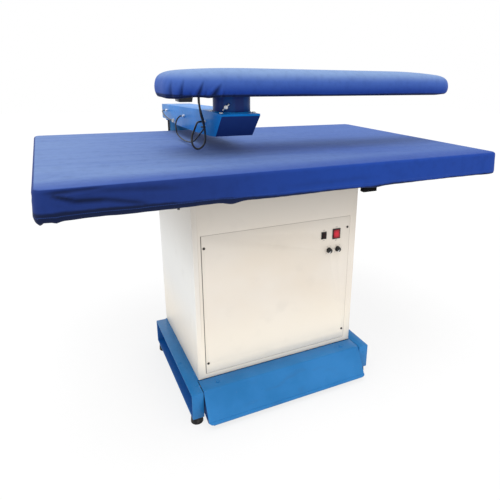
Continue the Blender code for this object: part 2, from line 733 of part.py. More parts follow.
def finish_of(key):
    """The finish for a key, made once."""
    colours = {
        "cloth": (BLUE_CLOTH, 0.85, 0.0), "blue": (BLUE_PAINT, 0.38, 0.0),
        "cream": (CREAM_PAINT, 0.42, 0.0), "black": (BLACK_PLASTIC, 0.35, 0.0),
        "red": (RED_PLASTIC, 0.30, 0.0), "steel": (BARE_STEEL, 0.35, 1.0),
        "zinc": (ZINC, 0.28, 1.0), "felt": (FELT, 0.95, 0.0), "nylon": (NYLON, 0.50, 0.0),
        "rubber": (BLACK_RUBBER, 0.75, 0.0), "copper": (COPPER_TUBE, 0.40, 1.0),
        "grey_cable": (GREY_CABLE, 0.50, 0.0),
    }
    if key not in FINISHES:
        FINISHES[key] = paint(key, *colours[key])
    return FINISHES[key]


def axis_empty(name, place, parent=None):
    """An empty that stands on a joint's axis; place is in the table's own places."""
    empty = bpy.data.objects.new(name, None)
    bpy.context.scene.collection.objects.link(empty)
    empty.location = Vector(place) - (AXES[parent] if parent else Vector((0, 0, 0)))
    if parent:
        empty.parent = bpy.data.objects[parent]
    AXES[name] = Vector(place)
    return empty


def seat(piece, parent, key):
    """Hang a piece on an axis empty, where it was drawn, and give it its finish."""
    shift = Matrix.Translation(-AXES[parent])
    piece.data.transform(shift)
    piece.parent = bpy.data.objects[parent]
    piece.data.materials.clear()
    piece.data.materials.append(finish_of(key))
    if piece.type == "MESH":
        piece.data.shade_smooth()
        piece.data.set_sharp_from_angle(angle=radians(SHARP_ANGLE))
    return piece


# Base

def base_rails():
    """Two outward-open channels with closed ends, each on two rubber feet."""
    for side, label in ((-1, "left"), (1, "right")):
        outer = BODY_X + side * RAIL_HALF_SPAN
        inner = BODY_X + side * RAIL_INNER_HALF
        low_x, high_x = min(outer, inner), max(outer, inner)
        rail = box("base_rail_" + label, (low_x, RAIL_FRONT, RAIL_LOW), (high_x, RAIL_REAR, RAIL_TOP))
        web = inner + side * RAIL_WALL
        mouth = outer + side * OVERRUN
        cut(rail, box("recess", (min(web, mouth), RAIL_FRONT + RAIL_WALL, RAIL_LOW + RAIL_WALL),
                      (max(web, mouth), RAIL_REAR - RAIL_WALL, RAIL_TOP - RAIL_WALL)))
        seat(rail, "table", "blue")
        middle = (outer + inner) / 2
        for y, place in ((RAIL_FRONT + FOOT_FRONT_INSET, "front"), (RAIL_REAR - FOOT_REAR_INSET, "rear")):
            foot_top = RAIL_LOW - GAP
            profile = [(0, 0), (FOOT_RADIUS - FOOT_CHAMFER, 0), (FOOT_RADIUS, FOOT_CHAMFER),
                       (FOOT_RADIUS - FOOT_CHAMFER, foot_top), (0, foot_top)]
            foot = turned("foot_%s_%s" % (place, label), profile, (middle, y, 0), steps=ROUND_STEPS)
            seat(foot, "table", "rubber")


def base_cross_frame():
    """Bars between the rails that carry the cabinet, with lugs for the pedal shaft."""
    half = RAIL_INNER_HALF - GAP
    low = CABINET_BASE - CROSS_BAR_HEIGHT
    bars = []
    for y in (CROSS_FRONT, CROSS_REAR):
        bars.append(box("bar", (BODY_X - half, y - CROSS_BAR_DEPTH / 2, low),
                        (BODY_X + half, y + CROSS_BAR_DEPTH / 2, CABINET_BASE)))
    spine = box("spine", (BODY_X - CROSS_BAR_DEPTH / 2, CROSS_FRONT, low + RAIL_WALL),
                (BODY_X + CROSS_BAR_DEPTH / 2, CROSS_REAR, CABINET_BASE - RAIL_WALL))
    frame = fuse(bars[0], bars[1], spine)
    frame.name = "base_cross_frame"
    for x, outward in ((PEDAL_BOLT_LEFT, -1), (PEDAL_BOLT_RIGHT, 1)):
        near = x + outward * (PEDAL_ARM_WIDTH / 2 + LUG_CLEARANCE)
        far = near + outward * LUG_THICKNESS
        lug_top = CABINET_BASE - CROSS_BAR_HEIGHT / 2
        lug = box("lug", (min(near, far), CROSS_REAR - LUG_DEPTH / 2, lug_top - LUG_DROP),
                  (max(near, far), CROSS_REAR + LUG_DEPTH / 2, lug_top))
        fuse(frame, lug)
        hole = rod("hole", (min(near, far) - OVERRUN, CROSS_REAR, PEDAL_SHAFT_HEIGHT),
                   (max(near, far) + OVERRUN, CROSS_REAR, PEDAL_SHAFT_HEIGHT),
                   PEDAL_SHAFT_RADIUS + LUG_BORE_CLEARANCE, ROUND_STEPS)
        cut(frame, hole)
    seat(frame, "table", "blue")


# Pedal

def pedal():
    """A bent plate on two arms that rock on a shaft behind the cabinet's middle."""
    outer = [(PEDAL_REAR, RAIL_TOP), (PEDAL_BEND, RAIL_TOP), (PEDAL_TOE, PEDAL_TOE_HEIGHT),
             (PEDAL_TOE + PEDAL_LIP_DEPTH, PEDAL_LIP_LOW)]
    outline = thick_line(outer, PEDAL_SHEET)
    plate = prism("pedal_plate", outline, BODY_X - PEDAL_HALF, BODY_X + PEDAL_HALF, "X")
    for x in (PEDAL_BOLT_LEFT, PEDAL_BOLT_RIGHT):
        cut(plate, rod("hole", (x, PEDAL_BOLT_Y, RAIL_TOP - PEDAL_SHEET - OVERRUN),
                       (x, PEDAL_BOLT_Y, RAIL_TOP + OVERRUN), BOLT_HOLE_RADIUS, HOLE_STEPS))
    seat(plate, "pedal_axis", "blue")

    shaft_y = CROSS_REAR
    arm_top = PEDAL_ARM_LOW + PEDAL_ARM_HEIGHT
    head_top = RAIL_TOP - PEDAL_SHEET - GAP
    profile = [(PEDAL_BEND + PEDAL_ARM_NOSE, head_top), (PEDAL_ARM_KNEE - GAP - PEDAL_ARM_STEP, head_top),
               (PEDAL_ARM_KNEE, arm_top), (shaft_y + PEDAL_ARM_TAIL, arm_top),
               (shaft_y + PEDAL_ARM_TAIL, PEDAL_ARM_LOW), (PEDAL_ARM_KNEE, PEDAL_ARM_LOW),
               (PEDAL_BEND + PEDAL_ARM_NOSE, head_top - PEDAL_ARM_HEIGHT)]
    overhang = PEDAL_ARM_WIDTH / 2 + PEDAL_SHAFT_REACH
    frame = rod("pedal_frame", (PEDAL_BOLT_LEFT - overhang, shaft_y, PEDAL_SHAFT_HEIGHT),
                (PEDAL_BOLT_RIGHT + overhang, shaft_y, PEDAL_SHAFT_HEIGHT), PEDAL_SHAFT_RADIUS, ROUND_STEPS)
    for x in (PEDAL_BOLT_LEFT, PEDAL_BOLT_RIGHT):
        arm = prism("arm", profile, x - PEDAL_ARM_WIDTH / 2, x + PEDAL_ARM_WIDTH / 2, "X")
        fuse(frame, arm)
        cut(frame, rod("hole", (x, PEDAL_BOLT_Y, head_top - PEDAL_BOLT_DEPTH),
                       (x, PEDAL_BOLT_Y, head_top + OVERRUN), BOLT_HOLE_RADIUS, HOLE_STEPS))
    tie = box("tie", (PEDAL_BOLT_LEFT, PEDAL_TIE_Y - PEDAL_TIE_DEPTH / 2, PEDAL_ARM_LOW + PEDAL_TIE_INSET),
              (PEDAL_BOLT_RIGHT, PEDAL_TIE_Y + PEDAL_TIE_DEPTH / 2, arm_top - PEDAL_TIE_INSET))
    fuse(frame, tie)
    seat(frame, "pedal_axis", "blue")

    for x, label in ((PEDAL_BOLT_LEFT, "left"), (PEDAL_BOLT_RIGHT, "right")):
        head_low = RAIL_TOP + GAP
        head_high = head_low + BOLT_HEAD_HEIGHT
        shank_low = head_top - PEDAL_BOLT_DEPTH + OVERRUN / 2
        profile_bolt = [(0, shank_low), (BOLT_SHANK_RADIUS, shank_low), (BOLT_SHANK_RADIUS, head_low),
                        (BOLT_HEAD_RADIUS, head_low), (BOLT_HEAD_RADIUS, head_high), (0, head_high)]
        bolt = turned("pedal_bolt_" + label, profile_bolt, (x, PEDAL_BOLT_Y, 0), steps=HEX_SIDES)
        seat(bolt, "pedal_axis", "zinc")


def thick_line(points, thickness):
    """The outline of a bent sheet whose outer side follows the given points."""
    inner = []
    count = len(points)
    for index, (x, y) in enumerate(points):
        before = points[max(index - 1, 0)]
        after = points[min(index + 1, count - 1)]
        one = Vector((x - before[0], y - before[1])) if index else None
        two = Vector((after[0] - x, after[1] - y)) if index < count - 1 else None
        one = (one or two).normalized()
        two = (two or one).normalized()
        bisector = (Vector((-one.y, one.x)) + Vector((-two.y, two.x))).normalized()
        reach = thickness / max(bisector.dot(Vector((-one.y, one.x))), MITRE_LIMIT_SHARE)
        inner.append((x + bisector.x * reach, y + bisector.y * reach))
    return points + inner[::-1]


def pedal_spring():
    """A torsion spring wound round the pedal shaft, beside the left lug."""
    start = PEDAL_BOLT_LEFT + PEDAL_ARM_WIDTH / 2 + SPRING_OFFSET
    points = []
    for step in range(SPRING_TURNS * SPRING_TURN_POINTS + 1):
        turn = 2 * pi * step / SPRING_TURN_POINTS
        points.append((start + SPRING_PITCH * step / SPRING_TURN_POINTS,
                       CROSS_REAR + SPRING_RADIUS * cos(turn),
                       PEDAL_SHAFT_HEIGHT + SPRING_RADIUS * sin(turn)))
    coil = [Vector(point) for point in points]
    nearest = min((one - two).length for index, one in enumerate(coil)
                  for two in coil[index + SPRING_TURN_POINTS // 2:])
    print("pedal_spring: least gap to itself %.2f mm" % ((nearest - SPRING_WIRE) * 1000))
    rise = CABINET_BASE - CROSS_BAR_HEIGHT - GAP
    end_x, end_y = points[-1][0] + SPRING_PITCH / 2, CROSS_REAR + SPRING_RADIUS
    points += [(end_x, end_y, (PEDAL_SHAFT_HEIGHT + rise) / 2), (end_x, end_y, rise)]
    spring = tube("pedal_spring", points, SPRING_WIRE / 2, 1)
    seat(spring, "table", "zinc")


def foot_switch():
    """A plunger switch on the left rail's web, under the left pedal arm."""
    web = BODY_X - RAIL_INNER_HALF + GAP
    right = PEDAL_BOLT_LEFT
    top = SWITCH_LOW + SWITCH_HEIGHT
    body = box("foot_switch", (right - SWITCH_WIDTH / 2, SWITCH_Y - SWITCH_DEPTH / 2, SWITCH_LOW),
               (right + SWITCH_WIDTH / 2, SWITCH_Y + SWITCH_DEPTH / 2, top))
    bracket = box("bracket", (web, SWITCH_Y - SWITCH_DEPTH / 2, SWITCH_LOW),
                  (right, SWITCH_Y + SWITCH_DEPTH / 2, SWITCH_LOW + RAIL_WALL))
    fuse(body, bracket)
    cut(body, rod("bore", (right, SWITCH_Y, top - PLUNGER_DEPTH), (right, SWITCH_Y, top + OVERRUN),
                  PLUNGER_RADIUS + GAP, SMALL_STEPS))
    seat(body, "table", "black")
    low = top - PLUNGER_DEPTH + PLUNGER_STROKE
    plunger = rod("foot_switch_plunger", (right, SWITCH_Y, low),
                  (right, SWITCH_Y, PEDAL_ARM_LOW - GAP), PLUNGER_RADIUS, SMALL_STEPS)
    seat(plunger, "plunger_axis", "red")


# Cabinet

def cabinet_shell():
    """The folded sheet cabinet: three walls, a framed front and two flanges."""
    left, right = BODY_X - CABINET_HALF, BODY_X + CABINET_HALF
    shell = box("cabinet_shell", (left, CABINET_FRONT, CABINET_FOOT), (right, CABINET_BACK, CABINET_TOP))
    cut(shell, box("inside", (left + SHEET, CABINET_FRONT + FRONT_FRAME, CABINET_FOOT + SHEET),
                   (right - SHEET, CABINET_BACK - SHEET, CABINET_TOP - SHEET)))
    front, back = CABINET_FRONT + TOP_FLANGE, CABINET_BACK - TOP_FLANGE
    cut(shell, box("top_opening", (left + TOP_FLANGE, front, CABINET_TOP - SHEET - OVERRUN),
                   (right - TOP_FLANGE, back, CABINET_TOP + OVERRUN)))
    cut(shell, box("base_opening", (left + BASE_FLANGE, CABINET_FRONT + BASE_FLANGE, CABINET_FOOT - OVERRUN),
                   (right - BASE_FLANGE, CABINET_BACK - BASE_FLANGE, CABINET_FOOT + SHEET + OVERRUN)))
    cut(shell, box("rebate", (BODY_X - PANEL_HALF, CABINET_FRONT - OVERRUN, PANEL_LOW),
                   (BODY_X + PANEL_HALF, CABINET_FRONT + PANEL_REBATE, PANEL_HIGH)))
    door = PANEL_HALF - PANEL_LAP
    cut(shell, box("doorway", (BODY_X - door, CABINET_FRONT - OVERRUN, PANEL_LOW + PANEL_LAP),
                   (BODY_X + door, CABINET_FRONT + FRONT_FRAME + OVERRUN, PANEL_HIGH - PANEL_LAP)))
    for x, z in panel_screw_places():
        cut(shell, rod("hole", (x, CABINET_FRONT, z), (x, CABINET_FRONT + FRONT_FRAME + OVERRUN, z),
                       SCREW_HOLE_RADIUS, HOLE_STEPS))
    back_low, back_high = CABINET_BACK - SHEET - OVERRUN, CABINET_BACK + OVERRUN
    cut(shell, box("branch_hole", (POST_X - BRANCH_WIDTH / 2 - GAP, back_low, BRANCH_LOW - GAP),
                   (POST_X + BRANCH_WIDTH / 2 + GAP, back_high, BRANCH_LOW + BRANCH_HEIGHT + GAP)))
    x_low, x_high, z_low, z_high = outlet_section(GAP)
    cut(shell, box("exhaust_hole", (x_low, back_low, z_low), (x_high, back_high, z_high)))
    cut(shell, rod("gland_hole", (GLAND_X, back_low, GLAND_Z), (GLAND_X, back_high, GLAND_Z),
                   GLAND_RADIUS - BEZEL_WALL + GAP, SMALL_STEPS))
    seat(shell, "table", "cream")


def panel_screw_places():
    """The four panel screws as (x, z)."""
    half = PANEL_HALF - SCREW_INSET_SIDE
    return [(BODY_X + side * half, z) for side in (-1, 1)
            for z in (PANEL_LOW + SCREW_INSET_LOW, PANEL_HIGH - SCREW_INSET_TOP)]


def cabinet_floor():
    """The plate inside the cabinet's foot flange that the motor stands on."""
    low = CABINET_FOOT + SHEET + GAP
    inset = SHEET + FLOOR_CLEARANCE
    floor = box("cabinet_floor",
                (BODY_X - CABINET_HALF + inset, CABINET_FRONT + FRONT_FRAME + FLOOR_CLEARANCE, low),
                (BODY_X + CABINET_HALF - inset, CABINET_BACK - inset, low + SHEET))
    seat(floor, "table", "steel")
    return low + SHEET


def front_panel():
    """The screwed front panel, cut out for the switches and the two knobs."""
    half = PANEL_HALF - PANEL_CLEARANCE
    outline = rounded_rectangle(half, (PANEL_HIGH - PANEL_LOW) / 2 - PANEL_CLEARANCE, PANEL_CORNER,
                                (BODY_X, (PANEL_LOW + PANEL_HIGH) / 2), corner_points=PLAIN_CORNER_POINTS)
    panel = prism("front_panel", outline, PANEL_FACE, PANEL_BACK, "Y")
    for x, z in panel_screw_places():
        cut(panel, rod("hole", (x, PANEL_FACE - OVERRUN, z), (x, PANEL_BACK + OVERRUN, z),
                       SCREW_HOLE_RADIUS, HOLE_STEPS))
    for x, z, width, height in switch_places():
        body_x, body_z = width / 2 - BEZEL_RIM / 2 + GAP, height / 2 - BEZEL_RIM / 2 + GAP
        cut(panel, box("window", (x - body_x, PANEL_FACE - OVERRUN, z - body_z),
                       (x + body_x, PANEL_BACK + OVERRUN, z + body_z)))
    for x in (KNOB_LEFT_X, KNOB_RIGHT_X):
        cut(panel, rod("hole", (x, PANEL_FACE - OVERRUN, KNOB_Z), (x, PANEL_BACK + OVERRUN, KNOB_Z),
                       KNOB_SHAFT_HOLE, SMALL_STEPS))
    seat(panel, "table", "cream")
    for number, (x, z) in enumerate(panel_screw_places(), 1):
        half_head, top = SCREW_HEAD_HEIGHT / 2, SCREW_LENGTH + SCREW_HEAD_HEIGHT
        profile = [(0, 0), (SCREW_SHANK_RADIUS, 0), (SCREW_SHANK_RADIUS, SCREW_LENGTH),
                   (SCREW_HEAD_RADIUS, SCREW_LENGTH), (SCREW_HEAD_RADIUS, top - half_head),
                   (SCREW_HEAD_RADIUS - half_head, top), (0, top)]
        start = (x, PANEL_FACE - GAP + SCREW_LENGTH, z)
        screw = turned("panel_screw_%d" % number, profile, start, (0, -1, 0), SMALL_STEPS)
        seat(screw, "table", "zinc")


def switch_places():
    """Both rocker switches as (x, z, width, height)."""
    return ((POWER_X, SWITCHES_Z, POWER_WIDTH, POWER_HEIGHT),
            (SMALL_X, SWITCHES_Z, SMALL_WIDTH, SMALL_HEIGHT))


def rocker_switches():
    """Two bezels through the panel, each with a rocker on a cross axis."""
    for (x, z, width, height), label, key in zip(switch_places(), ("power", "small"), ("red", "black")):
        face = PANEL_FACE - GAP
        bezel = box(label + "_switch_bezel", (x - width / 2, face - BEZEL_FLANGE, z - height / 2),
                    (x + width / 2, face, z + height / 2))
        body_x, body_z = width / 2 - BEZEL_RIM / 2, height / 2 - BEZEL_RIM / 2
        fuse(bezel, box("body", (x - body_x, face - BEZEL_FLANGE / 2, z - body_z),
                        (x + body_x, face + BEZEL_BODY_DEPTH, z + body_z)))
        hole_x, hole_z = body_x - BEZEL_WALL, body_z - BEZEL_WALL
        cut(bezel, box("well", (x - hole_x, face - BEZEL_FLANGE - OVERRUN, z - hole_z),
                       (x + hole_x, face + BEZEL_BODY_DEPTH - BEZEL_WALL, z + hole_z)))
        seat(bezel, "table", "black")
        half_z = hole_z - ROCKER_CLEARANCE - ROCKER_THICKNESS ** 2 / (8 * hole_z)
        half_t = ROCKER_THICKNESS / 2
        sweep = half_z * ROCKER_DISH_SHARE
        half_x = hole_x - ROCKER_CLEARANCE
        outline = [(-half_t, -half_z), (half_t, -half_z), (half_t, half_z), (-half_t, half_z),
                   (sweep - half_t, 0)]
        rocker = prism(label + "_rocker", outline, -half_x, half_x, "X")
        rocker.data.transform(Matrix.Rotation(radians(-ROCKER_TILT), 4, "X"))
        rocker.data.transform(Matrix.Translation((x, face - ROCKER_PIVOT_PROUD, z)))
        seat(rocker, label + "_rocker_axis", key)


def knobs():
    """Two pointer knobs, each on a shaft that reaches into the control box."""
    for x, label in ((KNOB_LEFT_X, "left"), (KNOB_RIGHT_X, "right")):
        back = PANEL_FACE - GAP
        shaft_end = CABINET_FRONT + CONTROL_BOX_SETBACK + KNOB_SHAFT_BITE
        length = shaft_end - back
        profile = [(0, -length), (KNOB_SHAFT_RADIUS, -length), (KNOB_SHAFT_RADIUS, 0), (KNOB_RADIUS, 0),
                   (KNOB_RADIUS, KNOB_SKIRT), (KNOB_RADIUS * KNOB_NECK_SHARE, KNOB_SKIRT * 2),
                   (KNOB_RADIUS * KNOB_NECK_SHARE, KNOB_DEPTH - KNOB_SKIRT / 2),
                   (KNOB_RADIUS * KNOB_TOP_SHARE, KNOB_DEPTH), (0, KNOB_DEPTH)]
        knob = turned("knob_" + label, profile, (x, back, KNOB_Z), (0, -1, 0), ROUND_STEPS)
        half, tip = KNOB_POINTER_WIDTH / 2, back - KNOB_DEPTH - KNOB_POINTER_WIDTH / 3
        pointer = box("pointer", (x - half, tip, KNOB_Z),
                      (x + half, back - KNOB_SKIRT, KNOB_Z + KNOB_RADIUS * KNOB_NECK_SHARE))
        fuse(knob, pointer)
        seat(knob, "knob_%s_axis" % label, "black")


def control_box():
    """The electrical box behind the panel, on four stand-offs."""
    front = CABINET_FRONT + CONTROL_BOX_SETBACK
    half_x, half_z = CONTROL_BOX_WIDTH / 2, CONTROL_BOX_HEIGHT / 2
    body = box("control_box", (CONTROL_BOX_X - half_x, front, CONTROL_BOX_Z - half_z),
               (CONTROL_BOX_X + half_x, front + CONTROL_BOX_DEPTH, CONTROL_BOX_Z + half_z))
    for side in (-1, 1):
        for rise in (-1, 1):
            spot_x = CONTROL_BOX_X + side * (half_x - STANDOFF_INSET)
            spot_z = CONTROL_BOX_Z + rise * (half_z - STANDOFF_INSET)
            fuse(body, rod("standoff", (spot_x, PANEL_BACK + GAP, spot_z), (spot_x, front + OVERRUN, spot_z),
                           STANDOFF_RADIUS, HOLE_STEPS))
    for x in (KNOB_LEFT_X, KNOB_RIGHT_X):
        cut(body, rod("hole", (x, front - OVERRUN, KNOB_Z), (x, front + KNOB_SHAFT_BITE * 2, KNOB_Z),
                      KNOB_SHAFT_HOLE, SMALL_STEPS))
    seat(body, "table", "steel")


# Ironing board

def cover_outline(inset):
    """The board cover's plan, drawn in by an inset."""
    return rounded_rectangle(BOARD_HALF_X - inset, BOARD_HALF_Y - inset, BOARD_CORNER - inset,
                             long_points=SIDE_POINTS_LONG, short_points=SIDE_POINTS_SHORT)


def board_cover():
    """The fitted cloth cover: flat top, wavy skirt and a hem turned under the tray."""
    shoulder = TOP_ROUND * TOP_ROUND_SHARE
    rows = [(HEM_RETURN, 0), (CLOTH, 0), (0, CLOTH), (0, SKIRT_HEIGHT * SKIRT_MIDDLE_SHARE),
            (0, SKIRT_HEIGHT - TOP_ROUND), (shoulder, SKIRT_HEIGHT - shoulder), (TOP_ROUND, SKIRT_HEIGHT)]
    outer, inner = [], []
    for (inset, rise), wave_share in zip(rows, SKIRT_WAVE_SHARES):
        outer.append(cover_ring(inset, rise, wave_share, 0))
        inner.append(cover_ring(inset, rise, wave_share, CLOTH))
    cover = lofted("board_cover", outer[::-1] + inner)
    seat(cover, "table", "cloth")


def cover_ring(inset, rise, wave_share, wall):
    """One ring of the cover, with the skirt's waves and droop, wall deep inside it."""
    spots = []
    outline = cover_outline(max(inset, wall))
    for x, y in outline:
        around = atan2(y / BOARD_HALF_Y, x / BOARD_HALF_X)
        wave = HEM_WAVE * wave_share * sin(HEM_WAVES * around + sin(HEM_SWAYS * around) / 2) ** 2
        droop = HEM_DROOP * wave_share * sin((HEM_DROOPS * around + HEM_DROOP_TURN) / 2) ** 2
        length = hypot(x, y)
        z = HEM_Z + rise - (droop if rise <= CLOTH else 0)
        if wall and rise > SKIRT_HEIGHT / 2:
            z -= wall
        elif rise == 0:
            z += wall
        spots.append((x - wave * x / length, y - wave * y / length, z))
    return spots


def board_pad():
    """The felt pad under the cover."""
    low = rounded_rectangle(INNER_HALF_X, INNER_HALF_Y, BOARD_CORNER)
    inset = TOP_ROUND + CLOTH
    high = rounded_rectangle(BOARD_HALF_X - inset, BOARD_HALF_Y - inset, BOARD_CORNER)
    rings = [[(x, y, PAD_LOW) for x, y in low], [(x, y, PAD_TOP) for x, y in high]]
    seat(lofted("board_pad", rings), "table", "felt")


def board_plate():
    """The perforated top plate under the pad."""
    outline = rounded_rectangle(INNER_HALF_X, INNER_HALF_Y, BOARD_CORNER, corner_points=PLAIN_CORNER_POINTS)
    plate = prism("board_plate", outline, PLATE_LOW, PLATE_TOP)
    pitch_x = (INNER_HALF_X + INNER_HALF_X) / PLATE_HOLE_COLUMNS
    pitch_y = (INNER_HALF_Y + INNER_HALF_Y) / PLATE_HOLE_ROWS
    for column in range(PLATE_HOLE_COLUMNS):
        for row in range(PLATE_HOLE_ROWS):
            x = pitch_x / 2 + column * pitch_x - INNER_HALF_X
            y = pitch_y / 2 + row * pitch_y - INNER_HALF_Y
            cut(plate, rod("hole", (x, y, PLATE_LOW - OVERRUN), (x, y, PLATE_TOP + OVERRUN),
                           PLATE_HOLE_RADIUS, HEX_SIDES))
    seat(plate, "table", "steel")


def board_tray():
    """The sheet steel suction tray, with two stiffeners and a hole to the blower."""
    outline = rounded_rectangle(INNER_HALF_X, INNER_HALF_Y, BOARD_CORNER, corner_points=PLAIN_CORNER_POINTS)
    tray = prism("board_tray", outline, TRAY_LOW, TRAY_TOP)
    inner = rounded_rectangle(INNER_HALF_X - SHEET, INNER_HALF_Y - SHEET, BOARD_CORNER - SHEET,
                              corner_points=PLAIN_CORNER_POINTS)
    cut(tray, prism("inside", inner, TRAY_LOW + SHEET, TRAY_TOP + OVERRUN))
    for y in (-STIFFENER_PLACE, STIFFENER_PLACE):
        reach, half = INNER_HALF_X - SHEET / 2, STIFFENER_THICKNESS / 2
        bar = box("stiffener", (-reach, y - half, TRAY_LOW + SHEET / 2), (reach, y + half, TRAY_TOP))
        for share in NOTCH_PLACE_SHARES:
            x = share * INNER_HALF_X
            cut(bar, box("notch", (x - NOTCH_WIDTH / 2, y - STIFFENER_THICKNESS, TRAY_LOW + SHEET),
                         (x + NOTCH_WIDTH / 2, y + STIFFENER_THICKNESS, TRAY_LOW + SHEET + NOTCH_HEIGHT)))
        fuse(tray, bar)
    cut(tray, rod("duct_hole", (BLOWER_X, BLOWER_Y, TRAY_LOW - OVERRUN),
                  (BLOWER_X, BLOWER_Y, TRAY_LOW + SHEET + OVERRUN), DUCT_RADIUS - SHEET, ROUND_STEPS))
    seat(tray, "table", "steel")


def board_heater():
    """A tubular heater in hairpins, clipped under the perforated plate."""
    z = PLATE_LOW - GAP - HEATER_RADIUS
    bend = HEATER_SPREAD / (HEATER_RUNS - 1) / 2
    points = []
    for run in range(HEATER_RUNS):
        y = -HEATER_SPREAD / 2 + 2 * bend * run
        side = 1 if run % 2 == 0 else -1
        for share in HEATER_POINT_SHARES:
            points.append((side * share * HEATER_REACH, y, z))
        if run < HEATER_RUNS - 1:
            for step in range(1, HEATER_BEND_POINTS):
                turn = pi * step / HEATER_BEND_POINTS
                points.append((side * (HEATER_REACH + bend * sin(turn)), y + bend * (1 - cos(turn)), z))
    seat(tube("board_heater", points, HEATER_RADIUS, 1), "table", "copper")


def thermostat_box():
    """The small black box under the tray, just behind the front hem."""
    front = -BOARD_HALF_Y + THERMOSTAT_SETBACK
    top = TRAY_LOW - GAP
    body = box("thermostat_box", (THERMOSTAT_X, front, top - THERMOSTAT_HEIGHT),
               (THERMOSTAT_X + THERMOSTAT_WIDTH, front + THERMOSTAT_DEPTH, top))
    seat(body, "table", "black")


# Suction blower inside the cabinet

def blower(floor_top):
    """Motor, shaft, impeller and housing, all on one upright axis."""
    centre = (BLOWER_X, BLOWER_Y, 0)
    low = floor_top + GAP
    shoulder = MOTOR_TOP - MOTOR_SHOULDER
    profile = [(SHAFT_HOLE_RADIUS, shoulder - MOTOR_BORE_DEPTH), (0, shoulder - MOTOR_BORE_DEPTH), (0, low),
               (MOTOR_FOOT_RADIUS, low), (MOTOR_FOOT_RADIUS, low + MOTOR_FOOT_HEIGHT),
               (MOTOR_RADIUS, low + MOTOR_FOOT_HEIGHT), (MOTOR_RADIUS, shoulder),
               (MOTOR_NECK_RADIUS, MOTOR_TOP), (SHAFT_HOLE_RADIUS, MOTOR_TOP)]
    seat(turned("blower_motor", profile, centre, steps=FINE_STEPS), "table", "steel")

    shaft_low = shoulder - MOTOR_BORE_DEPTH + GAP
    shaft_high = IMPELLER_LOW + IMPELLER_HEIGHT * HUB_HEIGHT_SHARE
    shaft = rod("motor_shaft", (BLOWER_X, BLOWER_Y, shaft_low), (BLOWER_X, BLOWER_Y, shaft_high),
                SHAFT_RADIUS, ROUND_STEPS)
    seat(shaft, "impeller_axis", "zinc")

    radius, high = HOUSING_RADIUS, HOUSING_TOP
    housing = turned("blower_housing", [(0, HOUSING_LOW), (radius, HOUSING_LOW), (radius, high), (0, high)],
                     centre, steps=FINE_STEPS)
    x_low, x_high, z_low, z_high = outlet_section(0)
    fuse(housing, box("outlet", (x_low, BLOWER_Y, z_low), (x_high, OUTLET_END, z_high)))
    inner = radius - SHEET
    floor, roof = HOUSING_LOW + SHEET, high - SHEET
    profile = [(0, floor), (inner, floor), (inner, roof), (0, roof)]
    cut(housing, turned("inside", profile, centre, steps=FINE_STEPS))
    cut(housing, box("outlet_way", (x_low + SHEET, BLOWER_Y, z_low + SHEET),
                     (x_high - SHEET, OUTLET_END + OVERRUN, z_high - SHEET)))
    cut(housing, rod("eye", (BLOWER_X, BLOWER_Y, high - SHEET - OVERRUN),
                     (BLOWER_X, BLOWER_Y, high + OVERRUN), HOUSING_EYE_RADIUS, ROUND_STEPS))
    cut(housing, rod("shaft_hole", (BLOWER_X, BLOWER_Y, HOUSING_LOW - OVERRUN),
                     (BLOWER_X, BLOWER_Y, HOUSING_LOW + SHEET + OVERRUN), HOUSING_SHAFT_HOLE, ROUND_STEPS))
    seat(housing, "table", "steel")
    seat(impeller_wheel(), "impeller_axis", "steel")


def impeller_wheel():
    """A backward-leaning wheel: disc, hub, blades and a shroud ring."""
    centre = (BLOWER_X, BLOWER_Y, 0)
    low, high = IMPELLER_LOW, IMPELLER_LOW + IMPELLER_HEIGHT
    hub_top = low + IMPELLER_HEIGHT * HUB_HEIGHT_SHARE
    bore = SHAFT_RADIUS + BORE_FIT
    wheel = turned("impeller", [(bore, low), (IMPELLER_RADIUS, low), (IMPELLER_RADIUS, low + IMPELLER_DISC),
                                (HUB_RADIUS, low + IMPELLER_DISC), (HUB_RADIUS, hub_top), (bore, hub_top)],
                   centre, steps=ROUND_STEPS)
    ring = turned("ring", [(IMPELLER_EYE, high - IMPELLER_DISC), (IMPELLER_RADIUS, high - IMPELLER_DISC),
                           (IMPELLER_RADIUS, high), (IMPELLER_EYE, high)], centre, steps=ROUND_STEPS)
    blades = []
    reach = IMPELLER_RADIUS - IMPELLER_EYE
    for number in range(IMPELLER_BLADES):
        blade = box("blade", (-reach / 2 + OVERRUN, -BLADE_THICKNESS / 2, low + IMPELLER_DISC / 2),
                    (reach / 2 - OVERRUN, BLADE_THICKNESS / 2, high - IMPELLER_DISC / 2))
        blade.data.transform(Matrix.Rotation(radians(BLADE_LEAN), 4, "Z"))
        blade.data.transform(Matrix.Translation(((IMPELLER_RADIUS + IMPELLER_EYE) / 2, 0, 0)))
        blade.data.transform(Matrix.Rotation(2 * pi * number / IMPELLER_BLADES, 4, "Z"))
        blade.data.transform(Matrix.Translation((BLOWER_X, BLOWER_Y, 0)))
        blades.append(blade)
    return fuse(wheel, *blades, ring)


def outlet_section(margin):
    """The blower outlet's x and z limits, grown by a margin."""
    x_low = BLOWER_X - HOUSING_RADIUS
    middle = HOUSING_LOW + HOUSING_HEIGHT / 2
    return (x_low - margin, x_low + OUTLET_WIDTH + margin,
            middle - OUTLET_HEIGHT / 2 - margin, middle + OUTLET_HEIGHT / 2 + margin)


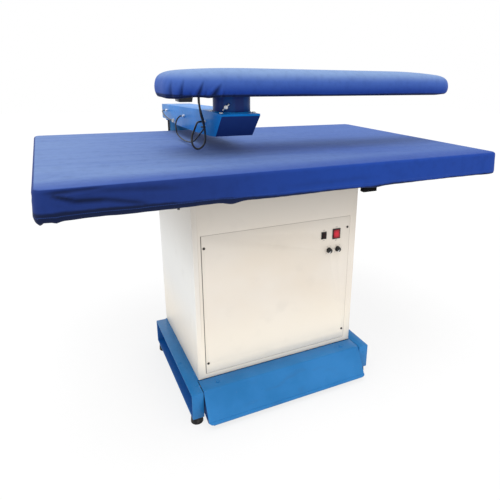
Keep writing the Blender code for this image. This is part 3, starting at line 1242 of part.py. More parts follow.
def exhaust_duct():
    """The box duct from the blower outlet out through the back wall, with its rim."""
    x_low, x_high, z_low, z_high = outlet_section(0)
    end = CABINET_BACK + EXHAUST_PROUD
    duct = box("exhaust_duct", (x_low, OUTLET_END + GAP, z_low), (x_high, end, z_high))
    rim_low = CABINET_BACK + GAP
    fuse(duct, box("rim", (x_low - EXHAUST_RIM, rim_low, z_low - EXHAUST_RIM),
                   (x_high + EXHAUST_RIM, rim_low + SHEET, z_high + EXHAUST_RIM)))
    cut(duct, box("way", (x_low + SHEET, OUTLET_END - OVERRUN, z_low + SHEET),
                  (x_high - SHEET, end + OVERRUN, z_high - SHEET)))
    seat(duct, "table", "steel")


def suction_duct():
    """The riser from the blower's eye to the tray, with a branch to the post."""
    centre = (BLOWER_X, BLOWER_Y, 0)
    top = TRAY_LOW - GAP
    outer, inner = DUCT_RADIUS, DUCT_RADIUS - SHEET
    profile = [(0, DUCT_LOW), (DUCT_COLLAR, DUCT_LOW), (DUCT_COLLAR, DUCT_LOW + COLLAR_THICKNESS),
               (outer, DUCT_LOW + COLLAR_THICKNESS), (outer, top - COLLAR_THICKNESS),
               (DUCT_COLLAR, top - COLLAR_THICKNESS), (DUCT_COLLAR, top), (0, top)]
    duct = turned("suction_duct", profile, centre, steps=ROUND_STEPS)
    half, end = BRANCH_WIDTH / 2, CABINET_BACK
    low, high = BRANCH_LOW, BRANCH_LOW + BRANCH_HEIGHT
    elbow = [(BLOWER_X - half / 2, BLOWER_Y), (BLOWER_X + half, BLOWER_Y + DUCT_RADIUS / 2),
             (POST_X + half, end - BRANCH_RUN), (POST_X + half, end), (POST_X - half, end),
             (POST_X - half, end - BRANCH_RUN)]
    fuse(duct, prism("branch", elbow, low, high))
    inside = [(BLOWER_X - half / 2 + SHEET, BLOWER_Y), (BLOWER_X + half - SHEET, BLOWER_Y + DUCT_RADIUS / 2),
              (POST_X + half - SHEET, end - BRANCH_RUN), (POST_X + half - SHEET, end + OVERRUN),
              (POST_X - half + SHEET, end + OVERRUN), (POST_X - half + SHEET, end - BRANCH_RUN)]
    cut(duct, rod("riser", (BLOWER_X, BLOWER_Y, DUCT_LOW - OVERRUN), (BLOWER_X, BLOWER_Y, top + OVERRUN),
                  inner, ROUND_STEPS))
    cut(duct, prism("branch_way", inside, low + SHEET, high - SHEET))
    seat(duct, "table", "steel")


def mains_gland():
    """The cable gland in the back wall; it stands open, with no lead in it."""
    back = CABINET_BACK + GAP
    stub = GLAND_RADIUS - BEZEL_WALL
    profile = [(GLAND_BORE, -SHEET * 3), (stub, -SHEET * 3), (stub, 0), (GLAND_NUT_RADIUS, 0),
               (GLAND_NUT_RADIUS, GLAND_LENGTH / 3), (GLAND_RADIUS, GLAND_LENGTH / 3),
               (GLAND_RADIUS, GLAND_LENGTH * 2 / 3), (GLAND_RADIUS - BEZEL_WALL * 2, GLAND_LENGTH),
               (GLAND_BORE, GLAND_LENGTH)]
    seat(turned("mains_gland", profile, (GLAND_X, back, GLAND_Z), (0, 1, 0), SMALL_STEPS), "table", "black")


# Post and swinging arm

def rear_support():
    """The box duct behind the cabinet that carries the fixed post and its air."""
    half = SUPPORT_WIDTH / 2
    low, high = SUPPORT_LOW, SUPPORT_LOW + SUPPORT_HEIGHT
    start, end = CABINET_BACK + GAP, ARM_REAR - SUPPORT_SETBACK
    support = box("rear_support", (POST_X - half, start, low), (POST_X + half, end, high))
    flange = box("flange", (POST_X - half - FLANGE_MARGIN, start, low - GUSSET_DROP),
                 (POST_X + half + FLANGE_MARGIN, start + FLANGE_THICKNESS, CABINET_TOP - FLANGE_TOP_DROP))
    web_top, tip = low + SUPPORT_WALL / 2, start + GUSSET_REACH
    web = [(start, web_top), (tip, web_top), (tip, low - GUSSET_THICKNESS),
           (start + GUSSET_THICKNESS, low - GUSSET_DROP), (start, low - GUSSET_DROP)]
    gusset = prism("gusset", web, POST_X - GUSSET_THICKNESS / 2, POST_X + GUSSET_THICKNESS / 2, "X")
    post = rod("post", (POST_X, POST_Y, high - SUPPORT_WALL / 2), (POST_X, POST_Y, POST_TOP),
               POST_RADIUS, FINE_STEPS)
    fuse(support, flange, gusset, post)
    cut(support, box("way", (POST_X - half + SUPPORT_WALL, start - OVERRUN, low + SUPPORT_WALL),
                     (POST_X + half - SUPPORT_WALL, end - SUPPORT_WALL, high - SUPPORT_WALL)))
    cut(support, rod("bore", (POST_X, POST_Y, high - SUPPORT_WALL - OVERRUN),
                     (POST_X, POST_Y, POST_TOP + OVERRUN), POST_RADIUS - POST_WALL, FINE_STEPS))
    entry = FEED_RADIUS + FEED_ENTRY_WALL
    fuse(support, box("feed_entry", (FEED_X - entry, FEED_Y - entry, FEED_ENTRY_Z - FEED_ENTRY_HEIGHT),
                      (POST_X - half + SUPPORT_WALL / 2, FEED_Y + entry, FEED_ENTRY_Z)))
    seat(support, "table", "blue")

    bush_inner = PIVOT_TUBE_RADIUS + BUSH_CLEARANCE
    bush_outer = POST_RADIUS - POST_WALL - BUSH_CLEARANCE
    flange_low = POST_TOP + GAP
    flange_high = flange_low + BUSH_FLANGE
    profile = [(bush_inner, PIVOT_TUBE_LOW), (bush_outer, PIVOT_TUBE_LOW), (bush_outer, flange_low),
               (POST_RADIUS, flange_low), (POST_RADIUS, flange_high), (bush_inner, flange_high)]
    seat(turned("post_bush", profile, (POST_X, POST_Y, 0), steps=FINE_STEPS), "table", "nylon")


def arm_outline(wall):
    """The arm's side view as (y, z), drawn in by its wall."""
    slope = (ARM_NOSE_TOP - ARM_NOSE_LOW) / (ARM_NOSE_TOE - ARM_NOSE)
    lean = wall * sqrt(1 + 1 / slope ** 2)
    return [(ARM_NOSE + lean + wall / slope, ARM_NOSE_TOP - wall), (ARM_SEAT_END, ARM_NOSE_TOP - wall),
            (ARM_REAR - wall, ARM_REAR_TOP - wall), (ARM_REAR - wall, ARM_REAR_LOW + wall),
            (ARM_NOSE_TOE + lean - wall / slope, ARM_NOSE_LOW + wall)]


def side_gland_places():
    """The three cable glands on the arm's left side as (y, z), from the back."""
    return [(POST_Y - REAR_GLAND_AHEAD, POST_TOP + GLAND_RISE),
            (SEAT_Y + MIDDLE_GLAND_BEHIND, POST_TOP + GLAND_RISE),
            (SEAT_Y + FRONT_GLAND_BEHIND, POST_TOP + FRONT_GLAND_RISE)]


def swing_arm():
    """The air duct arm with its pivot tube at the back and its spigot at the nose."""
    arm = prism("arm_duct", arm_outline(0), ARM_LEFT, ARM_RIGHT, "X")
    in_arm = ARM_REAR_LOW + ARM_WALL * 3
    collar = rod("collar", (POST_X, POST_Y, THRUST_Z + GAP), (POST_X, POST_Y, in_arm),
                 POST_RADIUS + ARM_WALL, FINE_STEPS)
    tube_solid = rod("pivot_tube", (POST_X, POST_Y, PIVOT_TUBE_LOW), (POST_X, POST_Y, in_arm),
                     PIVOT_TUBE_RADIUS, FINE_STEPS)
    seat_top = ARM_NOSE_TOP + SEAT_FLANGE
    profile = [(0, ARM_NOSE_TOP - ARM_WALL), (SEAT_RADIUS, ARM_NOSE_TOP - ARM_WALL), (SEAT_RADIUS, seat_top),
               (SPIGOT_RADIUS, seat_top), (SPIGOT_RADIUS, SPIGOT_TOP), (0, SPIGOT_TOP)]
    spigot = turned("spigot", profile, (SEAT_X, SEAT_Y, 0), steps=FINE_STEPS)
    fuse(arm, collar, tube_solid, spigot)
    boss = rod("feed_boss", (FEED_X, FEED_Y, POST_TOP + GAP), (FEED_X, FEED_Y, in_arm),
               FEED_RADIUS + FEED_ENTRY_WALL / 2, SMALL_STEPS)
    fuse(arm, boss)
    cut(arm, prism("inside", arm_outline(ARM_WALL), ARM_LEFT + ARM_WALL, ARM_RIGHT - ARM_WALL, "X"))
    cut(arm, rod("pivot_bore", (POST_X, POST_Y, PIVOT_TUBE_LOW - OVERRUN),
                 (POST_X, POST_Y, in_arm + OVERRUN), PIVOT_TUBE_RADIUS - PIVOT_TUBE_WALL, FINE_STEPS))
    cut(arm, rod("spigot_bore", (SEAT_X, SEAT_Y, ARM_NOSE_TOP - ARM_WALL * 2),
                 (SEAT_X, SEAT_Y, SPIGOT_TOP + OVERRUN), SPIGOT_RADIUS - SPIGOT_WALL, FINE_STEPS))
    seat(arm, "arm_axis", "blue")
    for number, (y, z) in enumerate(side_gland_places(), 1):
        length, dome = SIDE_GLAND_LENGTH, GLAND_NUT * GLAND_DOME_SHARE
        profile = [(0, 0), (GLAND_NUT, 0), (GLAND_NUT, length / 2), (dome, length / 2),
                   (CABLE_RADIUS * 3 / 2, length), (0, length)]
        gland = turned("arm_gland_%d" % number, profile, (ARM_LEFT - GAP, y, z), (-1, 0, 0), SMALL_STEPS)
        seat(gland, "arm_axis", "zinc")


def buck_socket():
    """The round socket under the buck, which turns on the arm's spigot."""
    inner = SPIGOT_RADIUS + SOCKET_CLEARANCE
    socket = pipe("buck_socket", (SEAT_X, SEAT_Y), SEAT_RADIUS, inner, SOCKET_LOW, BUCK_TRAY_LOW - GAP,
                  FINE_STEPS)
    seat(socket, "buck_axis", "blue")


def clamp_lever():
    """The silver hand screw that clamps the socket, with its cross bar."""
    out = Vector((cos(radians(LEVER_DIRECTION)), sin(radians(LEVER_DIRECTION)), 0))
    hub_start = Vector((SEAT_X, SEAT_Y, LEVER_HEIGHT)) + out * (SEAT_RADIUS + GAP)
    lever = rod("clamp_lever", hub_start, hub_start + out * LEVER_HUB_LENGTH, LEVER_HUB_RADIUS, SMALL_STEPS)
    across = out.cross(Vector((0, 0, 1)))
    along = across * cos(radians(LEVER_TURN)) - Vector((0, 0, 1)) * sin(radians(LEVER_TURN))
    middle = hub_start + out * (LEVER_HUB_LENGTH - LEVER_BAR_RADIUS)
    fuse(lever, rod("bar", middle - along * LEVER_BAR_LENGTH / 2, middle + along * LEVER_BAR_LENGTH / 2,
                    LEVER_BAR_RADIUS, SMALL_STEPS))
    seat(lever, "lever_axis", "zinc")


# Buck

def buck_ring(inset, rise_share, wall, gather_share):
    """One ring of the buck's cover: an inset, a share of the height and the gathers."""
    spots = []
    for x, y in buck_outline(inset):
        pull = 0.0
        for place_share in GATHER_PLACE_SHARES:
            place = BUCK_LEFT + BUCK_LENGTH * place_share
            pull += GATHER_DEPTH * gather_share * max(0.0, 1 - abs(x - place) / GATHER_WIDTH)
        length = max(abs(y - BUCK_Y), BUCK_HALF_TIP)
        z = BUCK_LOW + buck_height(x) * rise_share
        if wall and rise_share > BUCK_SIDE_RISE_SHARES[-1]:
            z -= wall
        elif rise_share == 0:
            z += wall
        spots.append((x, y - pull * (y - BUCK_Y) / length, z))
    return spots


def crown_rows():
    """The rows of the cover's crown: each one's inset and its share of the height."""
    return [(BUCK_INSET * inset_share, rise_share)
            for inset_share, rise_share in zip(BUCK_CROWN_INSET_SHARES, BUCK_CROWN_RISE_SHARES)]


def crown_share(inset):
    """The cover's share of its height at an inset from its edge."""
    rows = crown_rows()
    for (near, low), (far, high) in zip(rows, rows[1:]):
        if inset <= far:
            return low + (high - low) * (inset - near) / (far - near)
    return rows[-1][1]


def buck_cover():
    """The long padded buck's cloth: crowned top, round sides and a gathered hem."""
    rows = [(BUCK_HEM_RETURN, 0), (BUCK_INSET, 0)] + [(0, share) for share in BUCK_SIDE_RISE_SHARES]
    rows += crown_rows()
    outer, inner = [], []
    for (inset, rise), gather in zip(rows, BUCK_GATHER_SHARES):
        outer.append(buck_ring(inset, rise, 0, gather))
        inner.append(buck_ring(max(inset, CLOTH), rise, CLOTH, gather))
    cover = lofted("buck_cover", outer[::-1] + inner, BUCK_TIP_POINTS - 1)
    seat(cover, "buck_axis", "cloth")


def buck_pad():
    """The felt pad over the buck's hot plate, crowned like the cover."""
    start = BUCK_PLATE_TOP + GAP
    rings = [[(x, y, start) for x, y in buck_outline(PAD_EDGE)]]
    for share in PAD_INSET_SHARES:
        inset = PAD_EDGE * share
        ring = []
        for x, y in buck_outline(inset):
            under_cloth = BUCK_LOW + buck_height(x) * crown_share(inset) - CLOTH - PAD_SINK
            ring.append((x, y, max(start + PAD_SINK / 3, under_cloth)))
        rings.append(ring)
    seat(lofted("buck_pad", rings, BUCK_TIP_POINTS - 1), "buck_axis", "felt")


def buck_plate():
    """The buck's heated, perforated plate."""
    low = BUCK_TRAY_TOP + GAP
    plate = prism("buck_hot_plate", buck_outline(PAD_EDGE), low, BUCK_PLATE_TOP)
    run = BUCK_LENGTH - BUCK_HALF_TIP - BUCK_HALF_TIP
    for number in range(BUCK_PLATE_HOLES):
        x = BUCK_LEFT + BUCK_HALF_TIP + run * number / (BUCK_PLATE_HOLES - 1)
        cut(plate, rod("hole", (x, BUCK_Y, low - OVERRUN), (x, BUCK_Y, BUCK_PLATE_TOP + OVERRUN),
                       PLATE_HOLE_RADIUS, HEX_SIDES))
    seat(plate, "buck_axis", "steel")


def buck_tray():
    """The buck's steel trough, open to the socket below."""
    tray = prism("buck_tray", buck_outline(PAD_EDGE), BUCK_TRAY_LOW, BUCK_TRAY_TOP)
    inner = buck_outline(PAD_EDGE + SHEET)
    cut(tray, prism("inside", inner, BUCK_TRAY_LOW + SHEET, BUCK_TRAY_TOP + OVERRUN))
    hole_radius = SPIGOT_RADIUS - SPIGOT_WALL
    cut(tray, rod("hole", (SEAT_X, SEAT_Y, BUCK_TRAY_LOW - OVERRUN),
                  (SEAT_X, SEAT_Y, BUCK_TRAY_LOW + SHEET + OVERRUN), hole_radius, ROUND_STEPS))
    seat(tray, "buck_axis", "steel")


def buck_electrics():
    """The terminal box and the cable gland under the buck."""
    top = BUCK_TRAY_LOW - GAP
    low = top - TERMINAL_HEIGHT
    outline = [(TERMINAL_LEFT, top), (TERMINAL_RIGHT, top), (TERMINAL_RIGHT - TERMINAL_TAPER / 2, low),
               (TERMINAL_LEFT + TERMINAL_TAPER, low)]
    seat(prism("buck_terminal_box", outline, TERMINAL_FRONT, TERMINAL_BACK, "Y"), "buck_axis", "black")
    gland = rod("buck_gland", (BUCK_GLAND_X, BUCK_GLAND_Y, top - BUCK_GLAND_LENGTH),
                (BUCK_GLAND_X, BUCK_GLAND_Y, top), BUCK_GLAND_RADIUS, SMALL_STEPS)
    seat(gland, "buck_axis", "black")


# Cables

def hung(points, base_y):
    """A lead's points, moved to where the arm is."""
    return [(ARM_LEFT + right, base_y + back, POST_TOP + up) for right, back, up in points]


def cables():
    """Heater lead, sensor lead, feed lead and the short lead held by the arm's clip."""
    top = BUCK_TRAY_LOW - GAP - BUCK_GLAND_LENGTH - GAP
    face = ARM_LEFT - GAP - SIDE_GLAND_LENGTH - GAP
    run_out = face - CABLE_RUN_OUT
    rear, middle, front = [((run_out, *spot), (face, *spot)) for spot in side_gland_places()]
    heater = ((BUCK_GLAND_X, BUCK_GLAND_Y - CABLE_SPACING, top), *hung(HEATER_POINTS, SEAT_Y), *front)
    sensor = ((BUCK_GLAND_X, BUCK_GLAND_Y + CABLE_SPACING, top), *hung(SENSOR_POINTS, SEAT_Y), *middle)
    feed_low = FEED_ENTRY_Z + GAP
    feed_heights = (POST_TOP, POST_TOP - CABLE_RUN_OUT, feed_low + CABLE_RUN_OUT, feed_low)
    feed = [(FEED_X, FEED_Y, z) for z in feed_heights]
    clip_x, clip_end = ARM_LEFT - CLIP_LEAD_OUT, CLIP_Y + CLIP_WIDTH / 2 + GAP
    short = (rear[1], rear[0], *hung(SHORT_POINTS, POST_Y), (clip_x, clip_end + CABLE_RUN_OUT, CLIP_Z),
             (clip_x, clip_end, CLIP_Z))
    for name, route, radius, parent, key in (
            ("heater_lead", heater, CABLE_RADIUS, "arm_axis", "black"),
            ("sensor_lead", sensor, CABLE_RADIUS, "arm_axis", "black"),
            ("feed_lead", feed, FEED_RADIUS, "table", "black"),
            ("short_lead", short, CABLE_RADIUS, "arm_axis", "grey_cable")):
        bends = smooth_curve(route[1:-1], radius * CABLE_STEP_SHARE)
        seat(tube(name, [route[0]] + bends + [route[-1]], radius), parent, key)
    clip_low = CLIP_Z - CLIP_HEIGHT / 2
    clip = box("lead_clip", (ARM_LEFT - GAP - CLIP_DEPTH, CLIP_Y - CLIP_WIDTH / 2, clip_low),
               (ARM_LEFT - GAP, CLIP_Y + CLIP_WIDTH / 2, clip_low + CLIP_HEIGHT))
    seat(clip, "arm_axis", "nylon")


# The whole table

def joint_axes():
    """The empties that the moving pieces hang on."""
    axis_empty("table", (CENTRE_X, CENTRE_Y, 0))
    bpy.data.objects["table"].location = (0, 0, 0)
    axis_empty("pedal_axis", (BODY_X, CROSS_REAR, PEDAL_SHAFT_HEIGHT), "table")
    axis_empty("plunger_axis", (PEDAL_BOLT_LEFT, SWITCH_Y, SWITCH_LOW + SWITCH_HEIGHT), "table")
    axis_empty("impeller_axis", (BLOWER_X, BLOWER_Y, IMPELLER_LOW), "table")
    pivot_y = PANEL_FACE - GAP - ROCKER_PIVOT_PROUD
    axis_empty("power_rocker_axis", (POWER_X, pivot_y, SWITCHES_Z), "table")
    axis_empty("small_rocker_axis", (SMALL_X, pivot_y, SWITCHES_Z), "table")
    axis_empty("knob_left_axis", (KNOB_LEFT_X, PANEL_FACE, KNOB_Z), "table")
    axis_empty("knob_right_axis", (KNOB_RIGHT_X, PANEL_FACE, KNOB_Z), "table")
    axis_empty("arm_axis", (POST_X, POST_Y, THRUST_Z), "table")
    axis_empty("buck_axis", (SEAT_X, SEAT_Y, SOCKET_LOW), "arm_axis")
    out_x, out_y = cos(radians(LEVER_DIRECTION)), sin(radians(LEVER_DIRECTION))
    reach = SEAT_RADIUS + GAP
    axis_empty("lever_axis", (SEAT_X + out_x * reach, SEAT_Y + out_y * reach, LEVER_HEIGHT), "buck_axis")


def build():
    """Clear the file and build every piece."""
    for thing in list(bpy.data.objects):
        bpy.data.objects.remove(thing)
    joint_axes()
    base_rails()
    base_cross_frame()
    pedal()
    pedal_spring()
    foot_switch()
    cabinet_shell()
    floor_top = cabinet_floor()
    front_panel()
    rocker_switches()
    knobs()
    control_box()
    board_tray()
    board_plate()
    board_heater()
    board_pad()
    board_cover()
    thermostat_box()
    blower(floor_top)
    exhaust_duct()
    suction_duct()
    mains_gland()
    rear_support()
    swing_arm()
    buck_socket()
    clamp_lever()
    buck_tray()
    buck_plate()
    buck_pad()
    buck_cover()
    buck_electrics()
    cables()


build()
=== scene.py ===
"""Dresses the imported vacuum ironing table: its cloth, enamel, leads, fasteners, camera and light."""

import json
from math import cos, exp, hypot, pi, radians, sin, sqrt

import bmesh
import bpy
from bpy.props import FloatProperty, FloatVectorProperty, IntProperty, PointerProperty
from mathutils import Matrix, Vector


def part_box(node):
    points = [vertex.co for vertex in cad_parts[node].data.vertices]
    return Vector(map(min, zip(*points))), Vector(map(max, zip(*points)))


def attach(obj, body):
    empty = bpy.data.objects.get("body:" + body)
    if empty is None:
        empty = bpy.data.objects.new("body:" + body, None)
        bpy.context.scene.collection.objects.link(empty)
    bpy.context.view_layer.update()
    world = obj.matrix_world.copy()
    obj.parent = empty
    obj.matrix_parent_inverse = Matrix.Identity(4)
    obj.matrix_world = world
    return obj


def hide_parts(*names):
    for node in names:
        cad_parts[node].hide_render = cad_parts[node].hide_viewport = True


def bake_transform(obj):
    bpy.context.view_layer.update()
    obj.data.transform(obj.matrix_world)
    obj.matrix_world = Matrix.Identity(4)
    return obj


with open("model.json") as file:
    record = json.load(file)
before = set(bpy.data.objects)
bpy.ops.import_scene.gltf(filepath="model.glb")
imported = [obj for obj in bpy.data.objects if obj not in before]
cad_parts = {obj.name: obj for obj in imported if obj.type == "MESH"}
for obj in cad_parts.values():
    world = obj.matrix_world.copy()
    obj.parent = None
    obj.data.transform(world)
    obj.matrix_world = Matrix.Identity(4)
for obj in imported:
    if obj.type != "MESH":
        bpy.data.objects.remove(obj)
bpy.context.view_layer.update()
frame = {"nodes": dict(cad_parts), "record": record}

bl_info = {
    "name": "Vacuum ironing table",
    "version": (1, 0, 0),
    "blender": (4, 5, 0),
    "location": "View3D > Sidebar > Ironing table",
    "description": "Dresses the table's frame with cloth, enamel, leads, fasteners, camera and light",
    "category": "Object",
}

# Places taken from the frame

NODES = frame["nodes"]
SLOT_OF = {part["node"]: part["material_slot"] for part in frame["record"]["subparts"]}
BODY_OF = {node: body for body, nodes in frame["record"]["behaviour"]["bodies"].items() for node in nodes}


def middle(node):
    """The middle of a node's box."""
    low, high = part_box(node)
    return (low + high) / 2


def size_of(node):
    """The size of a node's box."""
    low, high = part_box(node)
    return high - low


BOARD_LOW, BOARD_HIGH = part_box("board_cover")
BOARD_MIDDLE = Vector((middle("board_cover").x, middle("board_cover").y, 0))
BUCK_LOW, BUCK_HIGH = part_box("buck_cover")
BUCK_LINE = (BUCK_LOW.y + BUCK_HIGH.y) / 2
SEAT = middle("buck_socket")
SOCKET_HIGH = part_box("buck_socket")[1]
PANEL_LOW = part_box("front_panel")[0]
CABINET_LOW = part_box("cabinet_shell")[0]


def at(x, y, z):
    """A place in the frame for one measured from the point on the floor under the board's middle."""
    return BOARD_MIDDLE + Vector((x, y, z))


def linear(red, green, blue):
    """A colour on the shader's linear scale for one given in steps of 255."""
    return tuple((part / 255 / 12.92) if part < 11 else ((part / 255 + 0.055) / 1.055) ** 2.4
                 for part in (red, green, blue))


def tinted(main, scale, lift=0.0):
    """A linear colour scaled, as a whole or part by part, and lifted."""
    scales = scale if isinstance(scale, tuple) else (scale, scale, scale)
    return tuple(min(1, part * factor + lift) for part, factor in zip(main, scales))


# Sizes and colours that a user would change

def length(name, description, default):
    """A property that holds a length in metres."""
    return FloatProperty(name=name, description=description, default=default, unit="LENGTH", precision=4)


def colour(name, description, default):
    """A property that holds a colour."""
    return FloatVectorProperty(name=name, description=description, default=linear(*default), size=3,
                               min=0, max=1, subtype="COLOR")


def share(name, description, default):
    """A property that holds a share from 0 to 1."""
    return FloatProperty(name=name, description=description, default=default, min=0, max=1, subtype="FACTOR")


class StageSettings(bpy.types.PropertyGroup):
    """Camera, floor and light."""

    camera_place: FloatVectorProperty(name="Camera place", description="Where the camera stands",
                                      default=(-0.7238, -1.7187, 1.1467), unit="LENGTH", subtype="TRANSLATION")
    camera_yaw: FloatProperty(name="Camera yaw", description="Turn to the right from looking to the back",
                              default=0.4780, unit="ROTATION")
    camera_pitch: FloatProperty(name="Camera pitch", description="How far the camera looks down",
                                default=0.3178, unit="ROTATION")
    camera_roll: FloatProperty(name="Camera roll", description="How far the camera leans to its left",
                               default=0.0197, unit="ROTATION")
    lens: FloatProperty(name="Lens", description="Focal length for a 36 mm sensor", default=33.523, unit="CAMERA")
    shift_x: FloatProperty(name="Shift right", description="Sideways shift of the frame", default=-0.0774)
    shift_y: FloatProperty(name="Shift up", description="Upward shift of the frame", default=-0.0510)
    key_strength: FloatProperty(name="Key light", description="Strength of the soft sun", default=1.3)
    key_softness: FloatProperty(name="Key softness", description="How wide the soft sun is",
                                default=radians(38), unit="ROTATION")
    room_strength: FloatProperty(name="Room light", description="Strength of the light from all round", default=1.0)
    floor_half: length("Floor half size", "Half the side of the pale floor", 12.0)


class CoverSettings(bpy.types.PropertyGroup):
    """The fitted cloth on the board."""

    corner: length("Corner radius", "Plan radius of the board's corners", 0.026)
    edge: length("Edge radius", "Radius of the edge round the top", 0.010)
    cloth: length("Cloth thickness", "Thickness of the cover cloth", 0.0020)
    hem_return: length("Hem return", "Width of the hem turned under the board", 0.020)
    swell: length("Top swell", "Height of the soft swells on the top", 0.0016)
    ripple: length("Skirt ripple", "Depth of the waves along the skirt", 0.0016)
    slack: length("Slack", "How far a fold may sink into the skirt", 0.0028)
    near: length("Corner reach", "How far round a corner the cloth stands out slantwise", 0.050)
    skirt_rows: IntProperty(name="Skirt rows", description="Rows of points down the skirt", default=17, min=4)
    ring_step: length("Ring step", "Distance between rows of points on the top", 0.018)
    weave_pitch: length("Weave pitch", "Distance between threads", 0.0016)
    # The cloth is darker along the hem, in a band that is higher towards the left
    hem_dark: length("Dark hem", "Height of the soiled band along the hem at its highest", 0.026)
    # A painted shadow of the buck: a slanted band across the top in a deeper blue, with its place, slant and half width
    deep_dye: colour("Deep dye", "Colour of the band on the top that kept its dye", (28, 72, 170))
    deep_line: length("Deep band", "Place across the board of the band that kept its dye", -0.190)
    deep_slant: length("Deep band slant", "How far that band slants per metre", 0.37)
    deep_reach: length("Deep band reach", "Half the width of that band", 0.170)
    flare: length("Corner flare", "How far the skirt stands out at the hem near the corners", 0.0050)
    sheen: share("Sheen", "How strongly the nap of both cloths shines", 0.10)
    # The top's two colours carry a painted sheen: the top lighter than the skirt, and lighter still towards its left
    top_colour: colour("Top", "Colour of the top", (80, 108, 170))
    faded_colour: colour("Faded top", "Colour where the iron has faded the top", (107, 132, 180))
    side_colour: colour("Skirt", "Colour of the skirt at its right", (26, 63, 148))
    # The skirt's left is painted darker, as painted shade
    shaded_colour: colour("Skirt's left", "Colour of the skirt at its left", (27, 49, 112))
    # Deep cloth is also the painted shade in the valleys of folds and gathers
    deep_colour: colour("Deep cloth", "Colour in folds and along the hem", (15, 25, 54))
    thread_colour: colour("Thread", "Colour of the stitches", (50, 78, 150))


class BuckSettings(bpy.types.PropertyGroup):
    """The long padded buck's cloth."""

    half_wide: length("Wide half", "Half the width at the wide end", 0.124)
    half_tip: length("Tip half", "Half the width at the slim tip", 0.074)
    corner: length("Corner radius", "Plan radius of the wide end's corners", 0.075)
    bow: length("Side bow", "How far the long sides bow out", 0.002)
    end_fall: length("End fall", "How far the crown falls at both ends", 0.0165)
    end_length: length("End length", "How far from an end the crown starts to fall", 0.290)
    sag: length("Hem sag", "How far the hem hangs down at the deep gather", 0.004)
    end_sag: length("End sag", "How far the hem hangs down round the wide end", 0.0060)
    tip_lift: length("Tip lift", "How far the hem is drawn up round the slim tip", 0.0040)
    cloth: length("Cloth thickness", "Thickness of the cover cloth", 0.0020)
    hem_return: length("Hem return", "Width of the hem turned under the buck", 0.022)
    fine_step: length("Fine step", "Point spacing across the gathers", 0.0030)
    coarse_step: length("Coarse step", "Point spacing along the smooth sides", 0.0120)
    low_colour: colour("Lower cloth", "Colour low on the buck's sides", (27, 62, 147))
    # Halfway up and at the crown the cloth is painted lighter, as a painted sheen
    cloth_colour: colour("Cloth", "Colour halfway up the buck's sides", (66, 98, 172))
    faded_colour: colour("Crown", "Colour of the crown, where the cloth has faded", (124, 150, 192))


class MetalSettings(bpy.types.PropertyGroup):
    """Painted and bare metal."""

    sheet_ease: length("Sheet edges", "Radius on the edges of sheet metal", 0.0008)
    bar_ease: length("Bar edges", "Radius on the edges of rails and blocks", 0.0016)
    arm_ease: length("Arm edges", "Bend radius of the arm's folded box", 0.0020)
    arm_drop: length("Arm drop", "How much deeper the arm's box is in front of its post", 0.0105)
    toe_share: share("Toe", "How much of that depth is gone again at the arm's toe", 0.72)
    box_share: share("Terminal box", "Width of the buck's terminal box as a share of its frame's", 0.80)
    box_deep: share("Terminal box depth", "Height of that box as a share of its frame's", 0.74)
    box_shift: length("Terminal box shift", "How far that box sits to the right", -0.0015)
    thermostat_width: share("Thermostat box", "Width of the board's thermostat box as a share of its frame's", 0.90)
    thermostat_share: share("Thermostat box depth", "Depth of that box as a share of its frame's", 0.30)
    column_grow: length("Column", "How much wider the turning seat's radius is than its frame's", 0.0024)
    pedal_thick: length("Pedal plate", "Thickness of the pedal's plate", 0.0030)
    hem_proud: length("Pedal hem", "How far the hem along the pedal's foot stands out", 0.0019)
    left_corner: length("Pedal's left corner", "Radius of the tread's lower left corner", 0.0140)
    right_corner: length("Pedal's right corner", "Radius of the tread's lower right corner", 0.0070)
    nose_lip: length("Nose lip", "Height of the upright lip over the arm's slanted nose", 0.0065)
    ledge_thick: length("Ledge", "Thickness of the strips between the rails and the cabinet", 0.0040)
    ledge_under: length("Ledge reach", "How far those strips reach under the cabinet", 0.0060)
    channel_shade: share("Channel shade", "How dark the inside of the rails' channels is", 1.0)
    # A strip down the left front corner painted lighter, with a painted dark line at its edge, as painted light and
    # shade of a bend
    corner_fold: length("Corner fold", "Width of the folded strip down the cabinet's left front corner", 0.0165)
    seam: length("Panel seam", "Width of the dark seam down the panel's left edge", 0.0028)
    weld: length("Weld bead", "Radius of the weld beads", 0.0022)
    blue_colour: colour("Enamel", "Blue enamel on the base", (30, 111, 172))
    arm_colour: colour("Arm enamel", "Blue enamel on the arm", (14, 118, 194))
    # The turning seat's enamel is darker than the rest: its own paint with painted shade from the buck above it
    column_colour: colour("Column enamel", "Blue enamel on the turning seat", (16, 58, 116))
    # Painted shade inside the rails' channels
    channel_colour: colour("Channel", "Enamel inside the rails' channels", (12, 78, 150))
    # Painted shade on the arm's nose and underside, and in the column's painted streaks
    under_colour: colour("Arm's underside", "Thin enamel on the arm's nose and underside", (32, 42, 98))
    cream_colour: colour("Powder coat", "Cream powder coat on the cabinet", (238, 229, 217))
    # The left side is painted whiter, as painted light
    side_coat: colour("Side coat", "Whiter powder coat on the cabinet's left side", (240, 240, 237))
    dirt_colour: colour("Dirt", "Floor dirt and grease", (70, 62, 54))


